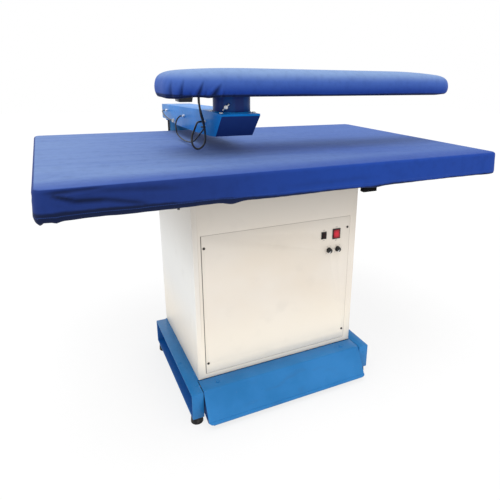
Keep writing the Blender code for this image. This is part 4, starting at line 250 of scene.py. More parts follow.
class ControlSettings(bpy.types.PropertyGroup):
    """Switches, knobs, their marks and the leads."""

    mark_height: length("Mark height", "Height of the numbers and words", 0.0052)
    mark_proud: length("Mark thickness", "How far the printed marks stand off the panel", 0.00012)
    tick_length: length("Tick length", "Length of a dial tick", 0.0028)
    dial_numbers: IntProperty(name="Dial numbers", description="Highest number round each knob", default=5, min=2)
    red_colour: colour("Red rocker", "Lit red rocker", (206, 20, 44))
    black_colour: colour("Black plastic", "Switches and knobs", (13, 13, 15))
    mark_colour: colour("Marks", "Printed dial marks", (112, 112, 118))
    stop_radius: length("Drawcord stop", "Radius of the stop on the board cover's drawcord", 0.0036)
    lead_sides: IntProperty(name="Lead sides", description="Sides of a lead's tube", default=12, min=6)


class TableSettings(bpy.types.PropertyGroup):
    """All the table's settings."""

    stage: PointerProperty(type=StageSettings)
    cover: PointerProperty(type=CoverSettings)
    buck: PointerProperty(type=BuckSettings)
    metal: PointerProperty(type=MetalSettings)
    controls: PointerProperty(type=ControlSettings)


def settings():
    """The scene's settings for the table."""
    return bpy.context.scene.ironing_table


# Shader nodes

class Wire:
    """A value that runs between shader nodes and takes Python's arithmetic."""

    def __init__(self, graph, socket):
        self.graph = graph
        self.socket = socket

    def maths(self, operation, *others):
        """A Math node on this value and others."""
        return self.graph.node("ShaderNodeMath", {"operation": operation}, dict(enumerate((self, *others))))

    def __add__(self, other):
        return self.maths("ADD", other)

    def __sub__(self, other):
        return self.maths("SUBTRACT", other)

    def __rsub__(self, other):
        return self * -1 + other

    def __mul__(self, other):
        return self.maths("MULTIPLY", other)

    def sine(self):
        """Its sine."""
        return self.maths("SINE")

    def size(self):
        """Its distance from 0."""
        return self.maths("ABSOLUTE")

    def at_most(self, other):
        """The smaller of it and another."""
        return self.maths("MINIMUM", other)


class Graph:
    """A tree of shader nodes that nodes of any type can be added to."""

    def __init__(self, owner):
        owner.use_nodes = True
        self.tree = owner.node_tree

    def node(self, kind, choices=None, inputs=None, output=0):
        """A node of any type: its choices first, then its sockets' values or links."""
        made = self.tree.nodes.new(kind)
        for name, value in (choices or {}).items():
            setattr(made, name, value)
        for key, value in (inputs or {}).items():
            if isinstance(value, Wire):
                self.tree.links.new(value.socket, made.inputs[key])
            else:
                made.inputs[key].default_value = value
        return Wire(self, made.outputs[output])

    def shown(self, shader, ending):
        """Links a shader to the node that ends the tree."""
        self.tree.links.new(shader.socket, self.tree.nodes[ending].inputs["Surface"])

    def rays(self, *names):
        """One wire for each kind of ray: 1 where the ray is of that kind."""
        return [self.node("ShaderNodeLightPath", output=name) for name in names]


class Finish(Graph):
    """One material, with its surface shader and the ways to build a look for it."""

    def __init__(self, name, **sockets):
        self.material = bpy.data.materials.new(name)
        super().__init__(self.material)
        self.surface = self.tree.nodes["Principled BSDF"]
        self.place = self.node("ShaderNodeTexCoord", output="Object")
        for label, value in sockets.items():
            self.give(label.replace("_", " ").title().replace("Ior", "IOR"), value)

    def give(self, label, value):
        """Sets or links one socket of the surface shader."""
        socket = self.surface.inputs[label]
        if isinstance(value, Wire):
            self.tree.links.new(value.socket, socket)
        elif hasattr(value, "__len__") and len(value) == 3 and len(socket.default_value) == 4:
            socket.default_value = (*value, 1)
        else:
            socket.default_value = value

    def axis(self, letter, place=None):
        """One coordinate of the place on the piece, in metres."""
        return self.node("ShaderNodeSeparateXYZ", inputs={0: place or self.place}, output=letter)

    def noise(self, scale, detail=2.0, place=None):
        """Soft noise with this many grains to a metre."""
        return self.node("ShaderNodeTexNoise", inputs={"Vector": place or self.place, "Scale": scale, "Detail": detail})

    def patches(self, scale, detail, low, high, place=None):
        """Noise with its lower part cut to 0 and its higher part to 1."""
        return self.rise(self.noise(scale, detail, place), low, high)

    def stretched(self, x, y, z):
        """The place on the piece, stretched by these factors."""
        return self.node("ShaderNodeMapping", inputs={"Vector": self.place, "Scale": (x, y, z)})

    def stored(self, name):
        """A value that is stored with the points of a piece."""
        return self.node("ShaderNodeAttribute", {"attribute_name": name}, output="Fac")

    def rise(self, value, low, high):
        """0 below low, 1 above high and a smooth step between them."""
        return self.node("ShaderNodeMapRange", {"interpolation_type": "SMOOTHSTEP"},
                         {"Value": value, "From Min": low, "From Max": high})

    def blend(self, factor, first, second):
        """A colour between two colours."""
        ends = {key: value if isinstance(value, Wire) else (*value, 1)[:4] for key, value in ((6, first), (7, second))}
        return self.node("ShaderNodeMix", {"data_type": "RGBA"}, {0: factor, **ends}, output=2)

    def layered(self, shade, *coats):
        """A colour under coats of others, each with how much of it shows."""
        for amount, coat in coats:
            shade = self.blend(amount, shade, coat)
        return shade

    def bump(self, height, depth, strength):
        """Raises the surface by the height times the depth in metres."""
        bumps = {"Height": height, "Distance": depth, "Strength": strength}
        self.give("Normal", self.node("ShaderNodeBump", inputs=bumps))

    def coated(self, shade, rough, *bumps):
        """The material with its colour, roughness and bumps."""
        self.give("Base Color", shade)
        self.give("Roughness", rough)
        self.bump(*bumps)
        return self.material


FINISHES = {}


def finish(key):
    """The material for a key, made once."""
    if key not in FINISHES:
        FINISHES[key] = MAKERS[key]()
    return FINISHES[key]


def threads(made, pitch):
    """The height of a plain weave, the same on faces that look any way."""
    waves = [(made.axis(letter) * (2 * pi / pitch)).sine() for letter in "XYZ"]
    return (waves[0] + waves[1] + waves[2]) * (1 / 6) + 0.5


def stitching(made, up):
    """A row of stitches this far up the cloth: the stitches and the row that they sink into."""
    line = made.node("ShaderNodeUVMap", {"uv_map": "run"})
    row = made.rise((made.axis("Y", line) - up).size() * -1, -0.0011, -0.0006)
    return row * made.rise((made.axis("X", line) * (2 * pi / 0.0042)).sine(), -0.35, 0.05), row


def cotton(name):
    """A finish for soft cotton with a napped surface."""
    return Finish(name, roughness=0.85, sheen_weight=settings().cover.sheen, sheen_roughness=0.5,
                  sheen_tint=linear(190, 206, 255), specular_ior_level=0.1)


def cloth_finish(made, shade, stitch_up):
    """Dyed cotton over a shade: mottled dye, painted shade in the fold valleys, the dark hem, a weave, stitches and a
    soft sheen.
    """
    cover = settings().cover
    mottle = made.noise(46.0, 4.0)
    stitch, row = stitching(made, stitch_up)
    # Painted shade in the valleys of folds and gathers, from each point's stored fold value
    shade = made.layered(shade, (made.rise(mottle, 0.42, 0.75) * 0.10, cover.deep_colour),
                         (made.stored("fold") * 0.92, cover.deep_colour), (stitch * 0.6, cover.thread_colour))
    height = threads(made, cover.weave_pitch) * 0.35 + made.noise(420.0, 3.0) * 0.40 + stitch * 0.9 - row * 0.5
    return made.coated(shade, mottle * 0.12 + 0.78, height, 0.0006, 0.45)


def board_cloth():
    """The board's cloth, with a painted sheen on its top, painted shade on the skirt's left, a painted shadow of the
    buck and dark along the hem.
    """
    cover = settings().cover
    made = cotton("board cloth")
    height = made.axis("Z")
    broad = made.noise(2.4, 3.0, made.stretched(0.5, 1.6, 1.0))
    across = made.axis("X")
    # Painted shade: the skirt darker towards its left
    side = made.blend(made.rise(across + broad * 0.30, -0.45, 0.35), cover.shaded_colour, cover.side_colour)
    # Painted sheen: the top lighter towards its left
    top = made.blend(made.rise(across + broad * 0.9, 0.95, -0.35), cover.top_colour, cover.faded_colour)
    streaks = made.patches(9.0, 4.0, 0.40, 0.70, made.stretched(0.35, 2.4, 1.0))
    # Painted shadow of the buck on the top, as a slanted band
    shy = made.axis("Y") - cover.deep_line + across * cover.deep_slant + (broad - 0.5) * 0.12
    painted_buck_shadow = made.rise(shy.size() * -1, -cover.deep_reach, 0.0)
    painted_buck_shadow = painted_buck_shadow * made.rise(across + broad * 0.2, -0.36, 0.0) * made.rise(across * -1, -0.70, -0.10)
    # Painted shade: the top takes the skirt's colour along its front edge
    edge = made.rise(made.axis("Y") + broad * 0.03, BOARD_LOW.y + 0.150, BOARD_LOW.y + 0.018)
    top = made.layered(top, (streaks * 0.16, cover.side_colour), (painted_buck_shadow * 0.42, cover.deep_dye),
                       (edge * 0.72, cover.side_colour))
    # Painted sheen: the top lighter than the skirt
    shade = made.blend(made.rise(height, BOARD_HIGH.z - 0.0022, BOARD_HIGH.z - 0.0001), side, top)
    # Darker along the hem, in a band that is higher towards the left
    band = made.rise(across * -1, -0.05, 0.75) * (cover.hem_dark * 0.75) + cover.hem_dark * 0.25
    ragged = (made.noise(7.0, 3.0) - 0.5) * 0.014 + (made.noise(60.0, 3.0) - 0.5) * 0.005
    hem = made.rise(band - height + BOARD_LOW.z + ragged, -0.003, 0.005)
    return cloth_finish(made, made.blend(hem * 0.95, shade, cover.deep_colour), 0.030)


def buck_cloth():
    """The buck's cloth, painted lighter towards its crown as a painted sheen and towards its wide end as painted light.
    """
    buck, cover = settings().buck, settings().cover
    made = cotton("buck cloth")
    full = BUCK_HIGH.z - BUCK_LOW.z
    height = (made.axis("Z") - BUCK_LOW.z) * (1 / full) + made.noise(5.0, 3.0) * 0.10 - 0.05
    end = made.rise(made.axis("X") * -1, -BUCK_LOW.x - 0.050, -BUCK_LOW.x)
    hem = made.rise(height * -1, -0.125, -0.045)
    # Painted sheen lighter with height, painted light towards the wide end, and darker along the hem
    shade = made.layered(buck.low_colour, (made.rise(height, 0.08, 0.62), buck.cloth_colour),
                         (end * 0.55, buck.cloth_colour), (made.rise(height, 0.50, 0.94), buck.faded_colour),
                         (hem * 0.92, cover.deep_colour))
    return cloth_finish(made, shade, 0.024)


def enamel(name, key, dirt_low=None, wear=0.25, under=0.0, painted_streaks=0.0, shaded="under_colour", gloss=1.0):
    """Brushed enamel in one of the blues: orange peel, smudges and floor dirt, painted dark streaks, and painted shade
    on faces that look down or lie inside channels.
    """
    metal = settings().metal
    main, dirt = getattr(metal, key)[:], metal.dirt_colour
    made = Finish(name, roughness=0.34, coat_roughness=0.16, specular_ior_level=0.15 * gloss)
    fine = made.noise(90.0, 5.0)
    specks = made.patches(260.0, 2.0, 0.735, 0.76) * made.patches(9.0, 2.0, 0.50, 0.62)
    grime = made.patches(16.0, 5.0, 0.50, 0.80) * wear
    if dirt_low is not None:
        low = made.rise(made.axis("Z") * -1 + fine * 0.02, -dirt_low, 0.0)
        grime = (grime + low * 0.15).at_most(0.8)
    shade = made.layered(main, (made.patches(5.0, 3.0, 0.30, 0.72), tinted(main, 1.22, 0.012)),
                         (made.rise(fine, 0.52, 0.80) * 0.25, tinted(main, 0.74)),
                         (grime * 0.4, dirt), (specks * 0.5, dirt))
    # Painted dark streaks down the column, standing in for the reflections and shade on its round side
    if painted_streaks:
        streaks = made.patches(26.0, 2.0, 0.44, 0.58, made.stretched(1.0, 1.0, 0.06))
        shade = made.blend(streaks * painted_streaks, shade, metal.under_colour)
    # Painted shade on faces that look down and inside the rails' channels
    if under:
        shade = made.blend(made.stored("under") * under, shade, getattr(metal, shaded))
    made.give("Coat Weight", (0.14 - grime * 0.12) * gloss)
    return made.coated(shade, made.noise(34.0, 4.0) * 0.22 + grime * 0.25 + 0.20,
                       made.noise(620.0, 2.0) * 0.6 + made.noise(60.0, 2.0) * 1.2 - specks * 0.8, 0.0005, 0.32)


def pedal_enamel():
    """The pedal's enamel, scuffed by shoes along its middle."""
    metal = settings().metal
    main = metal.blue_colour[:]
    made = Finish("pedal enamel", roughness=0.36, coat_roughness=0.2, specular_ior_level=0.15)
    reach = made.rise((made.axis("X") - middle("pedal_plate").x).size() * -1, -0.26, -0.05)
    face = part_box("pedal_plate")[0].y
    front = made.rise(made.axis("Y") * -1, -(face + 0.085), -(face + 0.050))
    scuffs = made.patches(30.0, 6.0, 0.54, 0.70, made.stretched(0.35, 1.0, 1.0)) * reach * front
    chips = made.patches(240.0, 2.0, 0.74, 0.77) * front
    shade = made.layered(main, (made.patches(6.0, 3.0, 0.32, 0.70), tinted(main, 1.18, 0.010)),
                         (scuffs * 0.12, metal.dirt_colour), (chips * 0.35, linear(150, 150, 152)))
    made.give("Coat Weight", 0.14 - scuffs * 0.08)
    return made.coated(shade, made.noise(40.0, 4.0) * 0.20 + scuffs * 0.15 + 0.22,
                       made.noise(600.0, 2.0) * 0.5 + made.noise(26.0, 2.0) * 1.6 - chips * 0.5, 0.0005, 0.30)


def cream_coat(name, seam=False):
    """Fine textured cream powder coat with faint dirt near the floor, and the panel's dark seam; painted shade under
    the board, painted light low down, on the left side and on a strip down the left front corner.
    """
    metal = settings().metal
    main = metal.cream_colour[:]
    made = Finish(name, roughness=0.44, coat_weight=0.12, coat_roughness=0.3)
    across, height = made.axis("X"), made.axis("Z")
    fold = CABINET_LOW.x + metal.corner_fold
    line = made.rise((across - fold - 0.0008).size() * -1, -0.0011, -0.0004)
    side = made.rise(across * -1, -(CABINET_LOW.x + 0.0030), -(CABINET_LOW.x + 0.0008))
    grime = made.patches(11.0, 6.0, 0.54, 0.80)
    near_floor = made.rise(height * -1 + made.noise(24.0, 4.0) * 0.06, -0.180, -0.100)
    shade = made.layered(main, (made.patches(3.5, 3.0, 0.35, 0.72) * 0.7, tinted(main, (0.97, 0.93, 0.87))),
                         # Painted light on the strip down the left front corner with a painted dark line at its edge,
                         # and on the left side
                         (made.rise(across * -1, -fold, -fold + 0.0012) * 0.35, metal.side_coat),
                         (line * 0.22, metal.dirt_colour), (side * 0.9, metal.side_coat),
                         # Painted shade under the board: the upper part darker
                         (made.rise(height, 0.46, 0.76) * 0.85, tinted(main, 0.66)),
                         # Painted light: the lower part lighter
                         (made.rise(height * -1, -0.420, -0.180), tinted(main, (1.12, 1.12, 1.08))),
                         (grime * 0.05 + near_floor * 0.06, metal.dirt_colour))
    if seam:
        low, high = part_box("front_panel")
        left = made.rise((across - low.x) * -1, -metal.seam, -metal.seam * 0.7)
        foot = made.rise((height - low.z) * -1, -metal.seam * 0.5, -metal.seam * 0.3)
        head = made.rise(height, high.z - metal.seam * 0.4, high.z - metal.seam * 0.2)
        far = made.rise(across, high.x - metal.seam * 0.35, high.x - metal.seam * 0.2)
        lines = (left * 0.85 + foot * 0.55 + head * 0.40 + far * 0.35).at_most(0.85)
        shade = made.blend(lines, shade, metal.dirt_colour)
    return made.coated(shade, made.noise(60.0, 3.0) * 0.12 + grime * 0.10 + 0.36,
                       made.noise(900.0, 2.0) + made.noise(330.0, 3.0) * 0.8, 0.0003, 0.35)


def speckled(name, clouds, amount, main, other, rough=None, grain=None, **sockets):
    """A plain finish: one colour clouded by another, clouded roughness and a fine grain."""
    made = Finish(name, **sockets)
    cloudy = made.patches(*clouds)
    made.give("Base Color", made.blend(cloudy * amount, main, other))
    if rough:
        made.give("Roughness", cloudy * rough[0] + rough[1])
    if grain:
        scale, detail, *bumps = grain
        made.bump(made.noise(scale, detail), *bumps)
    return made.material


def red_plastic():
    """The lit red rocker: clear red with a brighter heart."""
    main = settings().controls.red_colour[:]
    made = Finish("red rocker", roughness=0.22, coat_weight=0.2, coat_roughness=0.08, emission_strength=0.10,
                  specular_ior_level=0.3)
    off = made.node("ShaderNodeVectorMath", {"operation": "DISTANCE"}, {0: made.place, 1: middle("power_rocker")},
                    output="Value")
    heart = made.rise(off * -1, -0.018, -0.002)
    made.give("Emission Color", made.blend(heart, (0.02, 0.0, 0.0), linear(255, 40, 80)))
    return made.coated(made.blend(heart, tinted(main, 0.45), main), made.noise(300.0, 2.0) * 0.1 + 0.16,
                       made.noise(1500.0, 2.0), 0.0001, 0.25)


def unlit_plastic():
    """The small rocker: dark red plastic that looks almost black when it isn't lit."""
    made = Finish("unlit rocker", roughness=0.34, coat_weight=0.05, specular_ior_level=0.2)
    shade = made.blend(made.patches(260.0, 3.0, 0.35, 0.70), linear(46, 14, 12), linear(24, 9, 9))
    return made.coated(shade, made.noise(300.0, 2.0) * 0.12 + 0.28, made.noise(1500.0, 2.0), 0.0001, 0.25)


def plated(name, main, roughness, streaks, tarnish):
    """Bare or plated metal with brush marks and patches of tarnish."""
    made = Finish(name, metallic=1.0)
    brushed = made.noise(140.0, 4.0, made.stretched(*streaks))
    cloudy = made.patches(30.0, 4.0, 0.46, 0.72)
    shade = made.layered(main, (brushed * 0.35, tinted(main, 0.70)), (cloudy * 0.5, tarnish))
    return made.coated(shade, brushed * 0.20 + cloudy * 0.15 + roughness, brushed, 0.0002, 0.35)


def steel():
    """Galvanised sheet steel inside and under the table."""
    made = Finish("galvanised steel", metallic=1.0)
    spangle = made.node("ShaderNodeTexVoronoi", {"feature": "F1"}, {"Vector": made.place, "Scale": 70.0},
                        output="Color")
    grain = made.axis("X", spangle)
    rust = made.patches(14.0, 6.0, 0.60, 0.78)
    shade = made.layered(linear(150, 154, 158), (grain, linear(196, 199, 202)), (rust * 0.45, linear(120, 84, 58)))
    made.give("Metallic", 1.0 - rust * 0.6)
    return made.coated(shade, grain * 0.18 + rust * 0.3 + 0.28, grain * 0.4 + made.noise(400.0, 3.0), 0.0002, 0.3)


def felt():
    """Pressed felt under the cloth."""
    made = Finish("felt", roughness=0.95, sheen_weight=0.3, specular_ior_level=0.1)
    fibres = made.noise(420.0, 6.0)
    made.give("Base Color", made.layered(
        linear(176, 170, 156), (made.rise(fibres, 0.35, 0.68), linear(222, 217, 204)),
        (made.noise(8.0, 3.0) * 0.3, linear(190, 176, 150))))
    made.bump(fibres + made.noise(1100.0, 4.0) * 0.5, 0.0012, 0.6)
    return made.material


def sheath(name, main, dusty):
    """A cable's sheath of soft plastic."""
    return speckled(name, (160.0, 4.0, 0.42, 0.74), 0.5, linear(*main), linear(*dusty), (0.22, 0.34),
                    (900.0, 2.0, 0.00015, 0.35), roughness=0.46, specular_ior_level=0.45)


def black():
    """The black of switches and knobs."""
    return settings().controls.black_colour[:]


MAKERS = {
    "cloth": board_cloth,
    "buck cloth": buck_cloth,
    "blue": lambda: enamel("blue enamel", "blue_colour", 0.050, under=0.85, shaded="channel_colour"),
    "pedal": pedal_enamel,
    "arm": lambda: enamel("arm enamel", "arm_colour", wear=0.12, under=0.92, gloss=0.3),
    "column": lambda: enamel("column enamel", "column_colour", wear=0.15, painted_streaks=0.75, gloss=0.4),
    "cream": lambda: cream_coat("cream powder coat"),
    "panel": lambda: cream_coat("cream panel coat", True),
    "unlit": unlit_plastic,
    "red": red_plastic,
    "steel": steel,
    "felt": felt,
    # Moulded black plastic with finger grease, and matt black that catches no light
    "black": lambda: speckled("black plastic", (120.0, 4.0, 0.42, 0.70), 0.5, black(), tinted(black(), 1.9, 0.006),
                              (0.18, 0.30), (1900.0, 2.0, 0.00012, 0.4), roughness=0.4, specular_ior_level=0.45),
    "matt black": lambda: speckled("matt black", (70.0, 4.0, 0.48, 0.74), 0.4, tinted(black(), 0.5),
                                   tinted(tinted(black(), 0.5), 2.4, 0.003), (0.16, 0.62),
                                   (1500.0, 2.0, 0.00012, 0.4), roughness=0.7, specular_ior_level=0.08),
    # Dull rubber, dusty from the floor, and natural nylon
    "rubber": lambda: speckled("foot rubber", (70.0, 5.0, 0.40, 0.75), 0.55, linear(22, 22, 24), linear(84, 80, 76),
                               (0.2, 0.65), (500.0, 3.0, 0.0004, 0.4), roughness=0.8, specular_ior_level=0.3),
    "nylon": lambda: speckled("nylon", (80.0, 4.0, 0.50, 0.72), 0.4, linear(222, 216, 200), linear(186, 176, 156),
                              (0.15, 0.36), (700.0, 2.0, 0.00015, 0.3), roughness=0.42, subsurface_weight=0.08),
    # Cable sheaths, dusty and slightly uneven
    "black lead": lambda: sheath("black sheath", (20, 22, 26), (66, 70, 76)),
    "grey_cable": lambda: sheath("grey sheath", (96, 98, 104), (52, 52, 56)),
    # The grey ink of the marks on the panel, worn thin in spots, and the white line on a knob
    "print": lambda: speckled("print ink", (700.0, 4.0, 0.55, 0.70), 0.6, settings().controls.mark_colour,
                              settings().metal.cream_colour, roughness=0.5),
    "white": lambda: speckled("white ink", (900.0, 3.0, 0.52, 0.70), 0.4, linear(240, 240, 240),
                              linear(170, 170, 170), roughness=0.4),
    # Zinc plating, the glands' bright zinc made brighter still as a painted highlight, blackened screws and the browned
    # heating tube
    "zinc": lambda: plated("zinc plate", linear(206, 208, 212), 0.16, (1.0, 1.0, 6.0), linear(150, 146, 136)),
    "bright zinc": lambda: plated("bright zinc", linear(236, 240, 246), 0.22, (1.0, 1.0, 4.0), linear(196, 198, 200)),
    "dark screw": lambda: plated("dark screw", linear(72, 68, 66), 0.30, (1.0, 4.0, 1.0), linear(96, 74, 58)),
    "copper": lambda: plated("heater tube", linear(188, 120, 84), 0.26, (6.0, 1.0, 1.0), linear(92, 58, 46)),
}


# Working on one piece at a time

# Points nearer than this are one, and faces that meet at less than this angle are one
SAME_PLACE, FLAT = 0.00002, radians(0.6)


def clear_choice():
    """Leaves nothing selected, so that the next operator acts on its own piece."""
    if bpy.context.mode != "OBJECT":
        bpy.ops.object.mode_set(mode="OBJECT")
    bpy.ops.object.select_all(action="DESELECT")


def choose(*pieces):
    """Selects these pieces alone and makes the first one active."""
    clear_choice()
    for piece in pieces:
        piece.select_set(True)
    bpy.context.view_layer.objects.active = pieces[0]


def edit(piece, pick="ALL"):
    """Opens a piece for editing with all or none of it selected."""
    choose(piece)
    bpy.ops.object.mode_set(mode="EDIT")
    bpy.ops.mesh.select_all(action="SELECT" if pick == "ALL" else "DESELECT")


def pick_faces(piece, test):
    """Opens a piece for editing with the faces selected that pass a test on their middle and normal."""
    edit(piece, "NONE")
    bpy.ops.mesh.select_mode(type="FACE")
    shape = bmesh.from_edit_mesh(piece.data)
    for face in shape.faces:
        face.select_set(test(face.calc_center_median(), face.normal))
    bmesh.update_edit_mesh(piece.data)


def pick_edges(piece, test):
    """Opens a piece for editing with the edges selected that pass a test on their two ends."""
    edit(piece, "NONE")
    bpy.ops.mesh.select_mode(type="EDGE")
    shape = bmesh.from_edit_mesh(piece.data)
    for edge in shape.edges:
        edge.select_set(test(edge))
    shape.select_flush_mode()
    bmesh.update_edit_mesh(piece.data)


def done():
    """Closes the piece that is open for editing."""
    bpy.ops.mesh.select_mode(type="VERT")
    bpy.ops.object.mode_set(mode="OBJECT")


def is_sharp(edge):
    """True for an edge between two faces that meet at a corner."""
    return len(edge.link_faces) == 2 and edge.calc_face_angle() > radians(30)


def new_mesh(name, points, faces):
    """A piece made from points and faces."""
    mesh = bpy.data.meshes.new(name)
    mesh.from_pydata([tuple(point) for point in points], [], faces)
    piece = bpy.data.objects.new(name, mesh)
    bpy.context.scene.collection.objects.link(piece)
    return piece


def cylinder(sides, radius, depth, place, **choices):
    """A new cylinder that stands on end."""
    clear_choice()
    bpy.ops.mesh.primitive_cylinder_add(vertices=sides, radius=radius, depth=depth, location=place, **choices)
    return bpy.context.object


def block(place, size, turn=(0, 0, 0)):
    """A new block."""
    clear_choice()
    bpy.ops.mesh.primitive_cube_add(size=1, location=place, rotation=turn)
    bpy.context.object.scale = size
    return bpy.context.object


def bake_place(piece):
    """Puts a piece's place, turn and scale into its mesh."""
    choose(piece)
    bpy.ops.object.transform_apply(location=True, rotation=True, scale=True)


def apply_modifier(piece, kind, **choices):
    """Adds a modifier to a piece and applies it."""
    choose(piece)
    added = piece.modifiers.new(kind.title(), kind)
    for name, value in choices.items():
        setattr(added, name, value)
    bpy.ops.object.modifier_apply(modifier=added.name)


def soften(piece, width, sharp=35, **choices):
    """Rounds the edges of a piece that are sharper than an angle."""
    apply_modifier(piece, "BEVEL", width=width, segments=2, limit_method="ANGLE", angle_limit=radians(sharp), **choices)


def resized(piece, scale, centre, shift=(0, 0, 0)):
    """Scales a piece's mesh about a place and shifts it."""
    edit(piece)
    bpy.ops.transform.resize(value=scale, center_override=centre)
    bpy.ops.transform.translate(value=shift)
    done()


def raise_steps(steps, reach, rise):
    """Insets the chosen faces and moves them up, once for each step: shares of the reach and the rise."""
    for inset, up in steps:
        bpy.ops.mesh.inset(thickness=reach * inset)
        bpy.ops.transform.translate(value=(0, 0, rise * up))
    done()


def ride(piece, body, slot, replaced):
    """Lets a piece ride on a body and hides the nodes that it stands for; its slot is not used."""
    if body:
        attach(piece, body)
    if replaced:
        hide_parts(*replaced)
    return piece


def settle(piece, key, body, slot, smooth=30, replaced=()):
    """Places a piece in its mesh, shades and paints it, and lets it ride on a body."""
    bake_place(piece)
    bpy.ops.object.shade_smooth_by_angle(angle=radians(smooth))
    piece.data.materials.clear()
    piece.data.materials.append(finish(key))
    return ride(piece, body, slot, replaced)


def row_of(rows, make, *sizes):
    """Pieces of one shape: the first is made and the others are copies of it, each with its own mesh."""
    first = make(*rows[0], *sizes)
    for name, place, *home in rows[1:]:
        piece = bpy.data.objects.new(name, first.data.copy())
        piece.data.transform(Matrix.Translation(place - rows[0][1]))
        bpy.context.scene.collection.objects.link(piece)
        ride(piece, *home)


def rows_for(nodes, ending, place_of):
    """The rows of pieces that stand for nodes of one shape, each at a place found from its node's middle."""
    return [(node + ending, place_of(middle(node)), BODY_OF[node], SLOT_OF[node], (node,)) for node in nodes]


def joined(name, *pieces):
    """Several pieces joined into one."""
    choose(*pieces)
    bpy.ops.object.join()
    pieces[0].name = name
    return pieces[0]


def turn_to(piece, direction):
    """Turns a piece that was made along +Z to look another way."""
    piece.rotation_mode = "QUATERNION"
    piece.rotation_quaternion = Vector(direction).to_track_quat("Z", "Y")


def eased(node, width, key=None):
    """A copy of a node with its edges rounded, which then stands for it."""
    piece = bpy.data.objects.new(node + "_eased", NODES[node].data.copy())
    bpy.context.scene.collection.objects.link(piece)
    edit(piece)
    bpy.ops.mesh.customdata_custom_splitnormals_clear()
    bpy.ops.mesh.remove_doubles(threshold=SAME_PLACE)
    bpy.ops.mesh.dissolve_limited(angle_limit=FLAT)
    done()
    soften(piece, width, use_clamp_overlap=True, loop_slide=True)
    return settle(piece, key or SLOT_OF[node], BODY_OF[node], SLOT_OF[node], 30, (node,))


# Curves and leads

# Points between two points of a route, and the spacing of a lead's rings in its radii
CURVE_PARTS, RING_SPACING = 16, 1.6


def smooth_path(points, spacing):
    """Points at an even spacing on a smooth curve through the given ones."""
    places = [Vector(point) for point in points]
    places = [2 * places[0] - places[1]] + places + [2 * places[-1] - places[-2]]
    fine = []
    for a, b, c, d in zip(places, places[1:], places[2:], places[3:]):
        for part in range(CURVE_PARTS):
            t = part / CURVE_PARTS
            fine.append(0.5 * (2 * b + (c - a) * t + (2 * a - 5 * b + 4 * c - d) * t ** 2
                               + (3 * b - a - 3 * c + d) * t ** 3))
    fine.append(places[-2])
    lengths = [0.0]
    for one, two in zip(fine, fine[1:]):
        lengths.append(lengths[-1] + (two - one).length)
    count = max(2, round(lengths[-1] / spacing))
    even, index = [], 0
    for number in range(count + 1):
        goal = lengths[-1] * number / count
        while index < len(lengths) - 2 and lengths[index + 1] < goal:
            index += 1
        part = (goal - lengths[index]) / (lengths[index + 1] - lengths[index])
        even.append(fine[index].lerp(fine[index + 1], part))
    return even


def tube(name, path, radius, sides):
    """A closed round tube along a path."""
    points, faces = [], []
    ahead = (path[1] - path[0]).normalized()
    side = ahead.orthogonal().normalized()
    for index, spot in enumerate(path):
        near, far = path[max(0, index - 1)], path[min(len(path) - 1, index + 1)]
        onward = (far - near).normalized()
        side = (side - onward * side.dot(onward)).normalized()
        up = onward.cross(side)
        for corner in range(sides):
            turn = 2 * pi * corner / sides
            points.append(spot + radius * (cos(turn) * side + sin(turn) * up))
    for ring in range(len(path) - 1):
        for corner in range(sides):
            after = (corner + 1) % sides
            low, high = ring * sides, (ring + 1) * sides
            faces.append((low + corner, low + after, high + after, high + corner))
    faces.append(tuple(range(sides))[::-1])
    faces.append(tuple((len(path) - 1) * sides + corner for corner in range(sides)))
    return new_mesh(name, points, faces)


# Routes of the leads: FACE_X is the arm's side, and each lead runs straight out of it to RUN_OUT_X
FACE_X, RUN_OUT_X = -0.2246, -0.2306
HEATER_ROUTE = (
    (-0.2595, -0.1563, 1.0616), (-0.2595, -0.1563, 1.045), (-0.2545, -0.1530, 1.010), (-0.2450, -0.1475, 0.978),
    (-0.2390, -0.1440, 0.948), (-0.2400, -0.1400, 0.915), (-0.2520, -0.1350, 0.897), (-0.2665, -0.1300, 0.893),
    (-0.2775, -0.1230, 0.907), (-0.2760, -0.1150, 0.932), (-0.2640, -0.1040, 0.953), (-0.2520, -0.0860, 0.9665),
    (-0.2420, -0.0700, 0.9735), (RUN_OUT_X, -0.063, 0.975), (FACE_X, -0.063, 0.975))
SENSOR_ROUTE = (
    (-0.2595, -0.1501, 1.0616), (-0.2595, -0.1501, 1.045), (-0.2500, -0.1475, 1.010), (-0.2400, -0.1405, 0.976),
    (-0.2395, -0.1260, 0.956), (-0.2440, -0.0980, 0.938), (-0.2470, -0.0500, 0.912), (-0.2460, 0.0100, 0.896),
    (-0.2440, 0.0800, 0.889), (-0.2440, 0.1500, 0.890), (-0.2460, 0.2050, 0.902), (-0.2480, 0.2110, 0.920),
    (-0.2470, 0.2170, 0.940), (-0.2420, 0.2140, 0.957), (RUN_OUT_X, 0.211, 0.970), (FACE_X, 0.211, 0.970))
FEED_ROUTE = ((-0.1985, 0.552, 0.9215), (-0.1985, 0.552, 0.9155), (-0.1985, 0.552, 0.7563), (-0.1985, 0.552, 0.7503))
SHORT_ROUTE = (
    (FACE_X, 0.500, 0.970), (RUN_OUT_X, 0.500, 0.970), (-0.2370, 0.4880, 0.9660), (-0.2350, 0.4550, 0.9510),
    (-0.2240, 0.4150, 0.9385), (-0.2168, 0.3953, 0.936), (-0.2168, 0.3893, 0.936))
